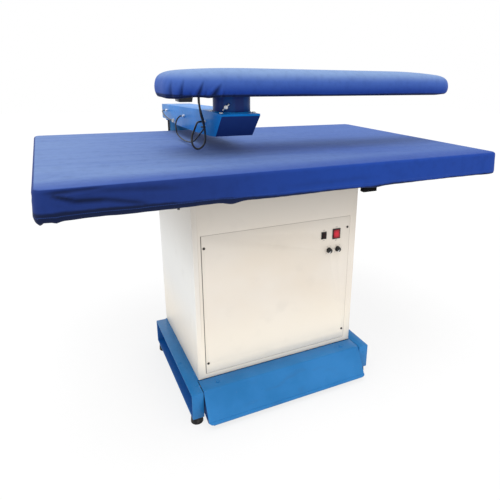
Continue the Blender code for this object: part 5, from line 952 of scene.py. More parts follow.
# Each lead: its route, radius, finish and slot, and the two bodies and heights that it runs between
LEADS = {
    "heater_lead": (HEATER_ROUTE, 0.0033, "black lead", "black", ("swing_arm", "buck", 0.975, 1.050)),
    "sensor_lead": (SENSOR_ROUTE, 0.0027, "black lead", "black", ("swing_arm", "buck", 0.975, 1.050)),
    "feed_lead": (FEED_ROUTE, 0.0042, "black lead", "black", ("root", "swing_arm", 0.80, 0.915)),
    "short_lead": (SHORT_ROUTE, 0.0027, "grey_cable", "grey_cable", None),
}


def make_lead(node, route, radius, key, slot, ends):
    """One lead along its route."""
    places = [at(*point) for point in route]
    path = [places[0]] + smooth_path(places[1:-1], radius * RING_SPACING) + [places[-1]]
    piece = tube(node + "_sheath", path, radius, settings().controls.lead_sides)
    measured = sum((two - one).length for one, two in zip(path, path[1:]))
    2 * radius
    "taut" if node == "feed_lead" else "hanging"
    settle(piece, key, None if ends else "swing_arm", slot, 60, (node,))
    if ends:
        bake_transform(piece)


def cable_tie():
    """A nylon tie round the two leads under the buck."""
    place, radius, width, thick = at(-0.2425, -0.1425, 0.966), 0.0066, 0.0036, 0.0011
    band = cylinder(28, radius, width, place, end_fill_type="NOTHING")
    resized(band, (0.86, 1.12, 1), place)
    apply_modifier(band, "SOLIDIFY", thickness=thick, offset=0)
    head = block(place + Vector((-0.0062, 0.0035, 0)), (0.0046, 0.0052, 0.0046))
    tie = joined("cable_tie", band, head)
    soften(tie, 0.0004, 40)
    settle(tie, "black", "swing_arm", "black")


# Cloth

# Parts of a corner's arc and points along a long and a short side of the board's outline
CORNER_PARTS, LONG_POINTS, SHORT_POINTS = 8, 160, 96
# Parts of the arcs round the buck's slim tip and its wide end's corners, and along that end
TIP_PARTS, END_CORNER_PARTS, END_PARTS = 32, 24, 20


def arc(x, y, radius, start, sweep, parts):
    """The points of an arc about a place, with both of its ends."""
    turns = [start + sweep * point / parts for point in range(parts + 1)]
    return [(x + radius * cos(turn), y + radius * sin(turn)) for turn in turns]


def rounded_outline(half_x, half_y, corner):
    """A rectangle with round corners about the board's middle, with points along its sides."""
    corners = [arc(sign_x * (half_x - corner), sign_y * (half_y - corner), corner, first, pi / 2, CORNER_PARTS)
               for sign_x, sign_y, first in ((1, -1, -pi / 2), (1, 1, 0), (-1, 1, pi / 2), (-1, -1, pi))]
    outline = []
    for index, points in enumerate(corners):
        outline += points
        start, end = points[-1], corners[(index + 1) % 4][0]
        count = LONG_POINTS if index % 2 else SHORT_POINTS
        for point in range(1, count + 1):
            part = point / (count + 1)
            outline.append((start[0] + (end[0] - start[0]) * part, start[1] + (end[1] - start[1]) * part))
    return outline


def hump(value, place, width):
    """A smooth hump of height 1 at a place."""
    return exp(-((value - place) / width) ** 2)


def step(value, low, high):
    """0 below low, 1 above high and a smooth step between them."""
    part = min(1.0, max(0.0, (value - low) / (high - low)))
    return part * part * (3 - 2 * part)


# Pull folds on the skirt: side, start and end along the side and down from the top, depth and width
SKIRT_FOLDS = (
    ("front", -0.765, 0.010, -0.655, 0.0085, 0.0028, 0.0045),
    ("front", -0.715, 0.0085, -0.600, 0.0060, 0.0024, 0.0040),
    ("front", -0.725, 0.012, -0.665, 0.0330, 0.0034, 0.0055),
    ("front", -0.680, 0.032, -0.590, 0.0360, 0.0034, 0.0060),
    ("front", -0.610, 0.034, -0.500, 0.0560, 0.0026, 0.0060),
    ("front", -0.640, 0.010, -0.420, 0.0240, 0.0014, 0.0065),
    ("front", -0.100, 0.050, 0.200, 0.0460, 0.0006, 0.0080),
    ("left", 0.485, 0.012, 0.280, 0.036, 0.0030, 0.0060),
    ("left", -0.500, 0.012, -0.330, 0.040, 0.0032, 0.0060),
    ("left", -0.300, 0.040, -0.100, 0.046, 0.0018, 0.0070),
    ("right", -0.490, 0.012, -0.300, 0.034, 0.0030, 0.0060),
    ("right", 0.490, 0.012, 0.300, 0.040, 0.0030, 0.0060),
    ("back", -0.750, 0.012, -0.560, 0.038, 0.0032, 0.0060),
    ("back", 0.750, 0.012, 0.560, 0.036, 0.0032, 0.0060),
    ("back", -0.200, 0.050, 0.100, 0.044, 0.0016, 0.0080),
)
# Places along the hem where the cloth hangs lower: side, place along it, drop and width
HEM_DROPS = (
    ("front", -0.757, 0.0055, 0.007), ("front", -0.712, 0.0034, 0.006), ("front", -0.560, 0.0010, 0.030),
    ("front", -0.276, 0.0066, 0.022), ("front", 0.205, 0.0040, 0.036), ("left", -0.494, 0.0065, 0.008),
    ("left", 0.210, 0.0030, 0.040), ("right", 0.120, 0.0030, 0.050), ("back", -0.350, 0.0036, 0.040),
    ("back", 0.420, 0.0030, 0.045),
)


def side_of(x, y, half_x, half_y):
    """The side of the board that a point on its outline belongs to."""
    if half_y - abs(y) < half_x - abs(x):
        return "front" if y < 0 else "back"
    return "left" if x < 0 else "right"


def skirt_push(x, y, half_x, half_y, down, run):
    """How far the skirt stands out at a point on its outline, this far under the top, and how shaded it is."""
    cover = settings().cover
    low = min(1.0, max(0.0, down / (BOARD_HIGH.z - BOARD_LOW.z)))
    side = side_of(x, y, half_x, half_y)
    along = x if side in ("front", "back") else y
    from_corner = hypot(half_x - abs(x), half_y - abs(y))
    clear = step(from_corner, 0.014, 0.055)
    loose = 0.2 if side == "left" else 1.0
    push = cover.flare * low ** 1.4 * step(-from_corner, -0.110, -0.030)
    waves = 0.3 + 0.55 * sin(2 * pi * run / 0.313 + 1.0) + 0.35 * low * sin(2 * pi * run / 0.127)
    push += cover.ripple * low * clear * loose * waves
    shaded = 0.0
    for place, from_along, from_down, to_along, to_down, depth, width in SKIRT_FOLDS:
        part = (along - from_along) / (to_along - from_along)
        if place != side or not -0.15 < part < 1.15:
            continue
        fade = clear * step(part, -0.15, 0.20) * step(-part, -1.15, -0.70)
        centre = from_down + (to_down - from_down) * part
        valley = hump(down, centre, width)
        push += fade * depth * (1.25 * loose * hump(down, centre + 2.1 * width, 1.3 * width) - valley)
        shaded = max(shaded, fade * valley * min(1.0, depth / 0.0034))
    pleats = 0.0007 * low ** 1.3 * hump(from_corner, 0.050, 0.045)
    push += pleats * (1 + sin(2 * pi * from_corner / (0.024 + 0.010 * low)))
    return max(push, -cover.slack), shaded


def hem_drop(x, y, half_x, half_y, run):
    """How far the hem hangs below its line at a point on its outline."""
    side = side_of(x, y, half_x, half_y)
    along = x if side in ("front", "back") else y
    drop = 0.0006 * (1 + sin(2 * pi * run / 0.371)) + 0.0002 * sin(2 * pi * run / 0.047)
    return drop + sum(fall * hump(along, spot, width) for place, spot, fall, width in HEM_DROPS if place == side)


def top_swell(x, y, half_x, half_y):
    """The soft swells of the top, which fade out at its edge."""
    fade = min(1.0, max(0.0, min(half_x - abs(x), half_y - abs(y)) / 0.12))
    wide = 0.5 + 0.5 * sin(2 * pi * (x / 0.83 + y / 1.9) + 0.6)
    cross = 0.5 + 0.5 * sin(2 * pi * (y / 0.57 - x / 2.1) + 1.1)
    small = 0.5 + 0.5 * sin(2 * pi * (x / 0.21 - y / 0.33)) * sin(2 * pi * (y / 0.19 + x / 0.71))
    return settings().cover.swell * fade * (0.55 * wide * cross + 0.30 * small)


def ring_piece(name, rings, shades, runs, heights):
    """A skin through closed rings of points, with a map of run and height and each point's shade."""
    count = len(rings[0])
    faces, marks = [], []
    for low in range(len(rings) - 1):
        for spot in range(count):
            after = (spot + 1) % count
            faces.append((low * count + spot, low * count + after, (low + 1) * count + after, (low + 1) * count + spot))
            marks.append(((runs[spot], heights[low]), (runs[spot + 1], heights[low]),
                          (runs[spot + 1], heights[low + 1]), (runs[spot], heights[low + 1])))
    piece = new_mesh(name, [spot for ring in rings for spot in ring], faces)
    layer = piece.data.uv_layers.new(name="run")
    for polygon, corners in zip(piece.data.polygons, marks):
        for loop, corner in zip(polygon.loop_indices, corners):
            layer.data[loop].uv = corner
    # Each point's painted shade in the valleys of folds
    fold = piece.data.attributes.new("fold", "FLOAT", "POINT")
    fold.data.foreach_set("value", [shade for ring in shades for shade in ring])
    return piece


def lengths_round(outline):
    """The distance along a closed outline at each of its points, and at its start again."""
    runs = [0.0]
    for one, two in zip(outline, outline[1:] + outline[:1]):
        runs.append(runs[-1] + hypot(two[0] - one[0], two[1] - one[1]))
    return runs


def cover_rows(half_y):
    """The board cover's rows of points from its hem to its middle: how far in and how far up."""
    cover = settings().cover
    full = BOARD_HIGH.z - BOARD_LOW.z
    straight = full - cover.edge
    first = 0.0085
    rows = [(cover.hem_return, 0.0030), (0.013, 0.0006), (0.0065, 0.0004), (0.0026, 0.0030), (0.0006, first)]
    rows += [(0.0, first + (straight - first) * part / cover.skirt_rows) for part in range(1, cover.skirt_rows + 1)]
    for part in range(1, 8):
        turn = pi / 2 * part / 7
        rows.append((cover.edge * (1 - cos(turn)), straight + cover.edge * sin(turn)))
    inset = cover.edge
    while inset < half_y - 1.4 * cover.ring_step:
        inset += min(cover.ring_step, 0.004 + (inset - cover.edge) * 0.5)
        rows.append((inset, full))
    return rows


def cover_piece():
    """The fitted cloth on the board: flat top, round edge, folded skirt and a hem turned under."""
    cover = settings().cover
    half_x, half_y = (BOARD_HIGH.x - BOARD_LOW.x) / 2, (BOARD_HIGH.y - BOARD_LOW.y) / 2
    top, hem = BOARD_HIGH.z, BOARD_LOW.z
    rows = cover_rows(half_y)
    outline = rounded_outline(half_x, half_y, cover.corner)
    runs = lengths_round(outline)
    rings, shades, heights, climbed, before = [], [], [], 0.0, rows[0]
    for inset, rise in rows:
        climbed += hypot(inset - before[0], rise - before[1])
        before = (inset, rise)
        heights.append(climbed)
        drawn = rounded_outline(half_x - inset, half_y - inset, max(0.001, cover.corner - inset))
        ring, shade = [], []
        for (x, y), (edge_x, edge_y), run in zip(drawn, outline, runs):
            down = top - hem - rise
            push, shaded, z = 0.0, 0.0, hem + rise
            if down > 0.0005:
                push, shaded = skirt_push(edge_x, edge_y, half_x, half_y, down, run)
                push *= step(down, 0.0, 0.006)
                z -= hem_drop(edge_x, edge_y, half_x, half_y, run) * max(0.0, 1 - rise / 0.030) ** 1.5
            else:
                z += top_swell(x, y, half_x, half_y)
            near_x = max(cover.near - half_x, min(half_x - cover.near, edge_x))
            near_y = max(cover.near - half_y, min(half_y - cover.near, edge_y))
            out = Vector((edge_x - near_x, edge_y - near_y)).normalized()
            ring.append(BOARD_MIDDLE + Vector((x + push * out.x, y + push * out.y, z)))
            shade.append(shaded)
        rings.append(ring)
        shades.append(shade)
    piece = ring_piece("board_cloth", rings, shades, runs, heights)
    close_last_ring(piece, len(rings[0]), len(rings))
    return piece


def close_last_ring(piece, count, rings):
    """Fills the small opening inside the last ring."""
    edit(piece, "NONE")
    shape = bmesh.from_edit_mesh(piece.data)
    shape.verts.ensure_lookup_table()
    for vertex in shape.verts[count * (rings - 1):]:
        vertex.select_set(True)
    shape.select_flush(True)
    bmesh.update_edit_mesh(piece.data)
    bpy.ops.mesh.edge_face_add()
    done()


def thicken(piece, thickness):
    """Gives a cloth skin its thickness, inwards."""
    edit(piece)
    bpy.ops.mesh.normals_make_consistent(inside=False)
    done()
    apply_modifier(piece, "SOLIDIFY", thickness=thickness, offset=-1.0, use_even_offset=False)


def buck_spine(x):
    """The point on the buck's middle line that a point of its outline draws in to."""
    buck = settings().buck
    return Vector((min(BUCK_HIGH.x - buck.half_tip, max(BUCK_LOW.x + buck.half_wide, x)), BUCK_LINE))


def buck_outline():
    """The buck's plan with close points across the gathers on its sides."""
    buck = settings().buck
    left, tip = BUCK_LOW.x, BUCK_HIGH.x
    start_x, end_x = left + buck.corner, tip - buck.half_tip
    stops, x = [], start_x
    while x < end_x - buck.coarse_step:
        stops.append(x)
        x += buck.fine_step if x < left + 0.235 else buck.coarse_step

    def side_y(spot):
        part = (spot - start_x) / (end_x - start_x)
        return buck.half_wide + (buck.half_tip - buck.half_wide) * part + buck.bow * 4 * part * (1 - part)

    inner = buck.half_wide - buck.corner
    outline = [(spot, BUCK_LINE - side_y(spot)) for spot in stops]
    outline += arc(end_x, BUCK_LINE, buck.half_tip, -pi / 2, pi, TIP_PARTS)
    outline += [(spot, BUCK_LINE + side_y(spot)) for spot in reversed(stops)]
    outline += arc(start_x, BUCK_LINE + inner, buck.corner, pi / 2, pi / 2, END_CORNER_PARTS)[1:]
    outline += [(left, BUCK_LINE + inner - 2 * inner * point / END_PARTS) for point in range(1, END_PARTS)]
    outline += arc(start_x, BUCK_LINE - inner, buck.corner, pi, pi / 2, END_CORNER_PARTS)[:-1]
    return outline


# Gathers on the buck: side, place at the hem and at the top end, height of the top end, depth and width
BUCK_GATHERS = (
    ("front", -0.372, -0.3690, 0.046, 0.0040, 0.0040),
    ("front", -0.348, -0.3370, 0.050, 0.0046, 0.0042),
    ("front", -0.298, -0.2780, 0.044, 0.0056, 0.0056),
    ("front", -0.250, -0.2240, 0.036, 0.0090, 0.0086),
    ("front", -0.322, -0.3160, 0.022, 0.0024, 0.0036),
    ("front", -0.275, -0.2700, 0.020, 0.0026, 0.0040),
    ("front", -0.218, -0.2120, 0.016, 0.0030, 0.0040),
    ("front", -0.180, -0.1740, 0.014, 0.0016, 0.0045),
    ("back", -0.362, -0.3550, 0.040, 0.0044, 0.0046),
    ("back", -0.325, -0.3160, 0.046, 0.0048, 0.0050),
    ("back", -0.268, -0.2500, 0.040, 0.0050, 0.0056),
    ("back", -0.215, -0.1990, 0.024, 0.0030, 0.0052),
)


def gather_push(x, y, up):
    """How far the buck's cloth is drawn in at a point on its side, this far over the hem, and how shaded."""
    side = "front" if y < BUCK_LINE - BOARD_MIDDLE.y else "back"
    push, shaded = 0.0, 0.0
    for place, hem_x, top_x, top, depth, width in BUCK_GATHERS:
        part = up / top
        if place != side or part > 1.2:
            continue
        centre = hem_x + (top_x - hem_x) * part
        fade = step(-part, -1.2, -0.1)
        spread = width * (0.50 + 0.70 * fade)
        push -= depth * fade * hump(x, centre, spread)
        push += 0.55 * depth * fade * (hump(x, centre - 2.0 * spread, spread) + hump(x, centre + 2.0 * spread, spread))
        shaded = max(shaded, fade ** 0.6 * hump(x, centre, spread * 0.9) * min(1.0, depth / 0.0055))
    return push, shaded


# The buck cloth's section from its hem to its crown: how far in, and which share of the height up
BUCK_SECTION = (
    (0.0240, 0.016), (0.0170, 0.004), (0.0115, 0.0), (0.0090, 0.010), (0.0076, 0.032), (0.0054, 0.065),
    (0.0036, 0.105), (0.0022, 0.15), (0.0010, 0.20), (0.0003, 0.25), (0.0, 0.30), (0.0, 0.35), (0.0, 0.40),
    (0.0003, 0.45), (0.0009, 0.50), (0.0018, 0.56), (0.0030, 0.62), (0.0047, 0.68), (0.0070, 0.74), (0.0100, 0.79),
    (0.0138, 0.84), (0.0184, 0.88), (0.0240, 0.915), (0.0310, 0.945), (0.0390, 0.968), (0.0480, 0.985),
    (0.0580, 0.995), (0.0690, 1.0),
)


def buck_height(x):
    """The height of the buck's crown at a place along it, which falls towards both ends."""
    buck = settings().buck
    near = min(x - BUCK_LOW.x, BUCK_HIGH.x - x)
    return BUCK_HIGH.z - BUCK_LOW.z - buck.end_fall * max(0.0, 1 - near / buck.end_length) ** 2


def buck_piece():
    """The buck's cloth: crowned top, round sides with gathers and a drawn hem."""
    buck, outline = settings().buck, buck_outline()
    runs = lengths_round(outline)
    rings, shades, heights, climbed, before = [], [], [], 0.0, BUCK_SECTION[0]
    for inset, rise_share in BUCK_SECTION:
        climbed += hypot(inset - before[0], (rise_share - before[1]) * (BUCK_HIGH.z - BUCK_LOW.z))
        before = (inset, rise_share)
        heights.append(climbed)
        ring, shade = [], []
        for (x, y), run in zip(outline, runs):
            edge, spine = Vector((x, y)), buck_spine(x)
            out = (edge - spine).normalized()
            spot = edge.lerp(spine, min(0.985, inset / (edge - spine).length))
            height = buck_height(spot.x)
            up = height * rise_share
            push, shaded = gather_push(x - BOARD_MIDDLE.x, y - BOARD_MIDDLE.y, up)
            push += 0.0006 * sin(2 * pi * run / 0.23) * (1 - rise_share)
            pucker = max(0.0, 1 - abs(up - 0.004) / 0.018)
            push += 0.0006 * pucker * sin(2 * pi * run / 0.0165)
            sag = buck.sag * hump(x - BOARD_MIDDLE.x, -0.256, 0.020) * (y < BUCK_LINE) * pucker
            sag += buck.end_sag * step(BUCK_LOW.x + 0.075 - spot.x, 0, 0.055) * (1 - rise_share) ** 3
            sag -= buck.tip_lift * step(spot.x - BUCK_HIGH.x + 0.110, 0, 0.080) * (1 - rise_share) ** 2
            push = max(push, inset - 0.0092) if inset < 0.0092 else push * step(-inset, -0.030, -0.0092)
            ring.append((spot.x + push * out.x, spot.y + push * out.y, BUCK_LOW.z + up - sag))
            shade.append(shaded)
        rings.append(ring)
        shades.append(shade)
    crown = rings[-1]
    for part in (0.55, 0.78, 0.93, 1.0):
        ring = []
        for last, (x, y) in zip(crown, outline):
            spot = Vector(last[:2]).lerp(buck_spine(x), part)
            ring.append((spot.x, spot.y, BUCK_LOW.z + buck_height(spot.x)))
        rings.append(ring)
        shades.append([0.0] * len(outline))
        heights.append(heights[-1] + 0.012)
    piece = ring_piece("buck_cloth", rings, shades, runs, heights)
    edit(piece)
    bpy.ops.mesh.remove_doubles(threshold=0.0004)
    done()
    return piece


# Round and cornered hardware

def hex_bolt(name, place, body, slot, replaced, across, height, key):
    """A hexagon head with a chamfered top on a washer."""
    head = cylinder(6, across / sqrt(3), height * 0.8, (0, 0, height * 0.6))
    pick_faces(head, lambda spot, normal: normal.z > 0.9)
    raise_steps(((0.07, 0.10), (0.16, -0.05)), across, height)
    washer = cylinder(26, across * 0.66, height * 0.22, (0, 0, height * 0.11))
    bolt = joined(name, head, washer)
    soften(bolt, across * 0.028)
    turn_to(bolt, (0, 0, 1))
    bolt.location = place
    return settle(bolt, key, body, slot, 32, replaced)


def cross_screw(name, place, body, slot, replaced, radius, height, key):
    """A domed head that looks to the front, with a cross cut into it."""
    head = cylinder(28, radius, height, (0, 0, height / 2))
    pick_faces(head, lambda spot, normal: normal.z > 0.9)
    raise_steps(((0.14, 0.22), (0.20, 0.16), (0.28, 0.08)), radius, height)
    for turn in (0, pi / 2):
        slot_cut = block((0, 0, height * 1.35), (radius * 1.15, radius * 0.24, height * 0.9), (0, 0, turn + 0.4))
        apply_modifier(head, "BOOLEAN", object=slot_cut, operation="DIFFERENCE", solver="EXACT")
        bpy.data.objects.remove(slot_cut)
    turn_to(head, (0, -1, 0))
    head.location = place
    head.name = name
    return settle(head, key, body, slot, 40, replaced)


def gland(name, place, body, slot, replaced, across, reach):
    """A cable gland on the arm's left side: a hexagon nut and a domed cap with a sunk rim."""
    nut = cylinder(6, across / 2, reach * 0.5, (0, 0, reach * 0.25))
    pick_faces(nut, lambda spot, normal: normal.z > 0.9)
    raise_steps(((0.05, 0.04),), across, reach)
    cap = cylinder(28, across * 0.42, reach * 0.5, (0, 0, reach * 0.73))
    pick_edges(cap, lambda edge: is_sharp(edge) and min(vertex.co.z for vertex in edge.verts) > 0)
    bpy.ops.mesh.bevel(offset=reach * 0.22, segments=5)
    done()
    pick_faces(cap, lambda spot, normal: normal.z > 0.98 and spot.z > 0)
    raise_steps(((0.03, -0.08),), across, reach)
    piece = joined(name, nut, cap)
    soften(piece, across * 0.02, 40)
    turn_to(piece, (-1, 0, 0))
    piece.location = place
    return settle(piece, "bright zinc", body, slot, 32, replaced)


def weld_ring(name, centre, radius, bead, key, body, slot, seed):
    """A rippled weld bead round a tube."""
    clear_choice()
    bpy.ops.mesh.primitive_torus_add(location=centre, major_radius=radius, minor_radius=bead,
                                     major_segments=120, minor_segments=8)
    piece = bpy.context.object
    piece.name = name
    edit(piece)
    bpy.ops.transform.vertex_random(offset=bead * 0.35, seed=seed)
    done()
    return settle(piece, key, body, slot, 180)


# The arm's top and middle height, cuts across it, the front of its post and where its nose starts and ends
ARM_TOP, ARM_MIDDLE = at(0, 0, 1.0135).z, at(0, 0, 0.952).z
ARM_CUTS = (0.440, 0.400, 0.365, 0.040, -0.110)
POST_FRONT, NOSE_BACK, NOSE_FRONT = 0.46, -0.215, -0.2375
# Radii of the weld beads round the turning seat's foot and top
SEAT_WELD, SOCKET_WELD = 0.0612, 0.0610
# The bolts round that seat: their size across the head, their height and their places
BOLT_ACROSS, BOLT_HEIGHT = 0.011, 0.0075
SEAT_BOLTS = ((-0.198, -0.094), (-0.161, -0.078), (-0.092, -0.106), (-0.200, -0.200), (-0.0870, -0.200))


def arm_skin():
    """The arm's folded box, a little deeper towards its nose than its frame."""
    metal = settings().metal
    piece = eased("arm_duct", metal.arm_ease, "arm")
    for along in ARM_CUTS:
        edit(piece)
        bpy.ops.mesh.bisect(plane_co=at(0, along, 0), plane_no=(0, 1, 0))
        done()
    for vertex in piece.data.vertices:
        along = vertex.co.y - BOARD_MIDDLE.y
        if vertex.co.z < ARM_MIDDLE and along < POST_FRONT:
            toe = 1 - metal.toe_share * step(-along, 0.060, 0.165)
            vertex.co.z -= metal.arm_drop * toe * step(-along, -0.445, -0.360)
    lip = ARM_TOP - metal.nose_lip
    edit(piece)
    bpy.ops.mesh.bisect(plane_co=(0, 0, lip), plane_no=(0, 0, 1))
    done()
    for vertex in piece.data.vertices:
        if abs(vertex.co.z - lip) < 0.0002 and vertex.co.y < at(0, NOSE_BACK, 0).y:
            vertex.co.y = at(0, NOSE_FRONT, 0).y
    # Painted shade on the faces that look down
    under = piece.data.attributes.new("under", "FLOAT", "FACE")
    under.data.foreach_set("value", [step(-face.normal.z, 0.05, 0.30) for face in piece.data.polygons])


def pedal_skin():
    """The pedal's folded plate: a flat top, a slanted tread with rounded lower corners, a hem and a lip."""
    metal = settings().metal
    low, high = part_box("pedal_plate")
    bend, toe = Vector((low.y + 0.058, high.z)), Vector((low.y + 0.0012, low.z + 0.0090))
    slope, full = (toe - bend).normalized(), (toe - bend).length
    raised = Vector((slope.y, -slope.x)) * metal.hem_proud
    rows = [(Vector((high.y, high.z)), 1.0), (bend + Vector((0.020, 0)), 1.0)]
    for part in (0.0, 0.25, 0.5, 0.75, 1.0):
        rows.append((bend + Vector((0.005, 0)) * (1 - part) ** 2 + slope * 0.005 * part ** 2, 1.0))
    for gone in (0.030, 0.055, 0.080, full - 0.0150, full - 0.0120, full - 0.0098):
        rows.append((bend + slope * gone, full - gone))
    for gone in (full - 0.0090, full - 0.0060, full - 0.0035, full - 0.0015, full):
        rows.append((bend + slope * gone + raised, full - gone))
    rows += [(toe + Vector((0.0025, -0.0050)), 0.0), (Vector((low.y + 0.0120, low.z + 0.0002)), -0.002)]
    columns, points, faces = 30, [], []
    for spot, left in rows:
        ends = []
        for radius in (metal.left_corner, metal.right_corner):
            past = min(radius, max(0.0, radius - left))
            ends.append(radius - sqrt(radius * radius - past * past) - min(0.0, left))
        for column in range(columns + 1):
            x = low.x + ends[0] + (high.x - ends[1] - low.x - ends[0]) * column / columns
            points.append((x, spot.x, spot.y))
    for row in range(len(rows) - 1):
        for column in range(columns):
            first, below = row * (columns + 1) + column, (row + 1) * (columns + 1) + column
            faces.append((first, below, below + 1, first + 1))
    piece = new_mesh("pedal_tread", points, faces)
    apply_modifier(piece, "SOLIDIFY", thickness=metal.pedal_thick, offset=-1, use_even_offset=True)
    soften(piece, metal.sheet_ease, 50)
    settle(piece, "pedal", "pedal", "blue", 30, ("pedal_plate",))


def hem_stop():
    """The small black stop on the cover's drawcord, which shows under the hem."""
    piece = cylinder(20, settings().controls.stop_radius, 0.0085, at(-0.4260, -0.4935, 0.8012))
    piece.name = "drawcord_stop"
    pick_faces(piece, lambda spot, normal: abs(normal.z) > 0.9)
    bpy.ops.mesh.inset(thickness=0.0009)
    bpy.ops.mesh.bevel(offset=0.0006, segments=2)
    done()
    settle(piece, "black", "root", "black")


def on_panel(x, z):
    """A place on the front panel's face."""
    return Vector((at(x, 0, 0).x, PANEL_LOW.y, z))


def mark(name, words, x, z, height):
    """A printed word or number on the front panel."""
    clear_choice()
    bpy.ops.object.text_add(location=on_panel(x, z), rotation=(pi / 2, 0, 0))
    text = bpy.context.object
    text.data.body = words
    text.data.align_x = text.data.align_y = "CENTER"
    text.data.size = height
    text.data.extrude = settings().controls.mark_proud
    text.name = name
    bpy.ops.object.convert(target="MESH")
    return bpy.context.object


def tick(x, z, turn, reach, width):
    """A short printed line that points away from a knob's middle."""
    line = block(on_panel(x, z), (width, 2 * settings().controls.mark_proud, reach), (0, turn, 0))
    bake_place(line)
    return line


# Operators

# How much of the floor's look is its own glow, where the camera sees it
FLOOR_GLOW = 0.80
# How far a thing that lies on a face stands off it, and the height of the panel's screws
HAIR, SCREW_HEIGHT = 0.0002, 0.0016
# The dials: where they start and how far they go round, and the gap between a knob and its ticks
DIAL_START, DIAL_SWEEP, DIAL_GAP = -135, 270, 0.0022
# The gap between a switch and its word, and the radius on the edges of switches and of knobs and levers
WORD_GAP, SWITCH_EASE, KNOB_EASE = 0.0060, 0.0005, 0.0006


class IRONINGTABLE_OT_stage(bpy.types.Operator):
    """Adds the camera, the pale floor, the soft sun and the room's light"""

    bl_idname = "ironing_table.stage"
    bl_label = "Stage"

    def execute(self, context):
        stage = settings().stage
        self.add_camera(context.scene, stage)
        self.add_floor(stage)
        clear_choice()
        bpy.ops.object.light_add(type="SUN", location=(-2.0, -1.5, 3.5), rotation=(radians(10), radians(-12), 0))
        sun = context.object.data
        sun.energy = stage.key_strength
        sun.angle = stage.key_softness
        self.light_room(context.scene, stage)
        context.scene.view_settings.view_transform = "Standard"
        return {"FINISHED"}

    def add_camera(self, scene, stage):
        yaw, pitch, roll = stage.camera_yaw, stage.camera_pitch, stage.camera_roll
        ahead = Vector((sin(yaw) * cos(pitch), cos(yaw) * cos(pitch), -sin(pitch)))
        right = Vector((cos(yaw), -sin(yaw), 0))
        up = right.cross(ahead)
        across = cos(roll) * right + sin(roll) * up
        upward = cos(roll) * up - sin(roll) * right
        bpy.ops.object.camera_add()
        camera = bpy.context.object
        camera.matrix_world = Matrix.Translation(stage.camera_place) @ Matrix(
            (across, upward, -ahead)).transposed().to_4x4()
        camera.data.lens = stage.lens
        camera.data.sensor_width = 36
        camera.data.shift_x = stage.shift_x
        camera.data.shift_y = stage.shift_y
        scene.camera = camera

    def add_floor(self, stage):
        clear_choice()
        bpy.ops.mesh.primitive_plane_add(size=2 * stage.floor_half)
        floor = bpy.context.object
        floor.name = "floor"
        made = Finish("pale floor", base_color=linear(236, 236, 236), roughness=0.9, specular_ior_level=0.1)
        seen, glossy, clear = made.rays("Is Camera Ray", "Is Glossy Ray", "Is Transmission Ray")
        glow = made.node("ShaderNodeEmission", inputs={"Color": (1, 1, 1, 1), "Strength": 1.0})
        lit = Wire(made, made.surface.outputs[0])
        factor = (seen + glossy + clear) * FLOOR_GLOW
        made.shown(made.node("ShaderNodeMixShader", inputs={0: factor, 1: lit, 2: glow}), "Material Output")
        floor.data.materials.append(made.material)

    def light_room(self, scene, stage):
        scene.world = bpy.data.worlds.new("room")
        room = Graph(scene.world)
        background = room.tree.nodes["Background"]
        background.inputs["Color"].default_value = (1, 1, 1, 1)
        background.inputs["Strength"].default_value = stage.room_strength
        bright = room.node("ShaderNodeBackground", inputs={"Color": (1, 1, 1, 1), "Strength": 1.0})
        seen, clear, glossy = room.rays("Is Camera Ray", "Is Transmission Ray", "Is Glossy Ray")
        either = seen.maths("MAXIMUM", clear).maths("MAXIMUM", glossy)
        plain = Wire(room, background.outputs[0])
        room.shown(room.node("ShaderNodeMixShader", inputs={0: either, 1: plain, 2: bright}), "World Output")


class IRONINGTABLE_OT_leads(bpy.types.Operator):
    """Makes the four leads and the tie that holds two of them"""

    bl_idname = "ironing_table.leads"
    bl_label = "Leads"

    def execute(self, context):
        for node, lead in LEADS.items():
            make_lead(node, *lead)
        cable_tie()
        return {"FINISHED"}


class IRONINGTABLE_OT_board_cloth(bpy.types.Operator):
    """Makes the board's fitted cloth cover"""

    bl_idname = "ironing_table.board_cloth"
    bl_label = "Board cloth"

    def execute(self, context):
        piece = cover_piece()
        thicken(piece, settings().cover.cloth)
        settle(piece, "cloth", "root", "cloth", 70, ("board_cover",))
        hem_stop()
        return {"FINISHED"}


class IRONINGTABLE_OT_buck_cloth(bpy.types.Operator):
    """Makes the buck's padded cloth cover"""

    bl_idname = "ironing_table.buck_cloth"
    bl_label = "Buck cloth"

    def execute(self, context):
        piece = buck_piece()
        thicken(piece, settings().buck.cloth)
        settle(piece, "buck cloth", "buck", "cloth", 75, ("buck_cover",))
        return {"FINISHED"}


class IRONINGTABLE_OT_cabinet(bpy.types.Operator):
    """Rounds the cabinet's sheet edges and coats it"""

    bl_idname = "ironing_table.cabinet"
    bl_label = "Cabinet"

    def execute(self, context):
        metal = settings().metal
        eased("cabinet_shell", metal.sheet_ease)
        eased("front_panel", metal.sheet_ease, "panel")
        screws = ["panel_screw_%d" % number for number in range(1, 5)]
        rows = rows_for(screws, "_head", lambda spot: Vector((spot.x, PANEL_LOW.y - HAIR, spot.z)))
        row_of(rows, cross_screw, size_of(screws[0]).x / 2, SCREW_HEIGHT, "dark screw")
        return {"FINISHED"}


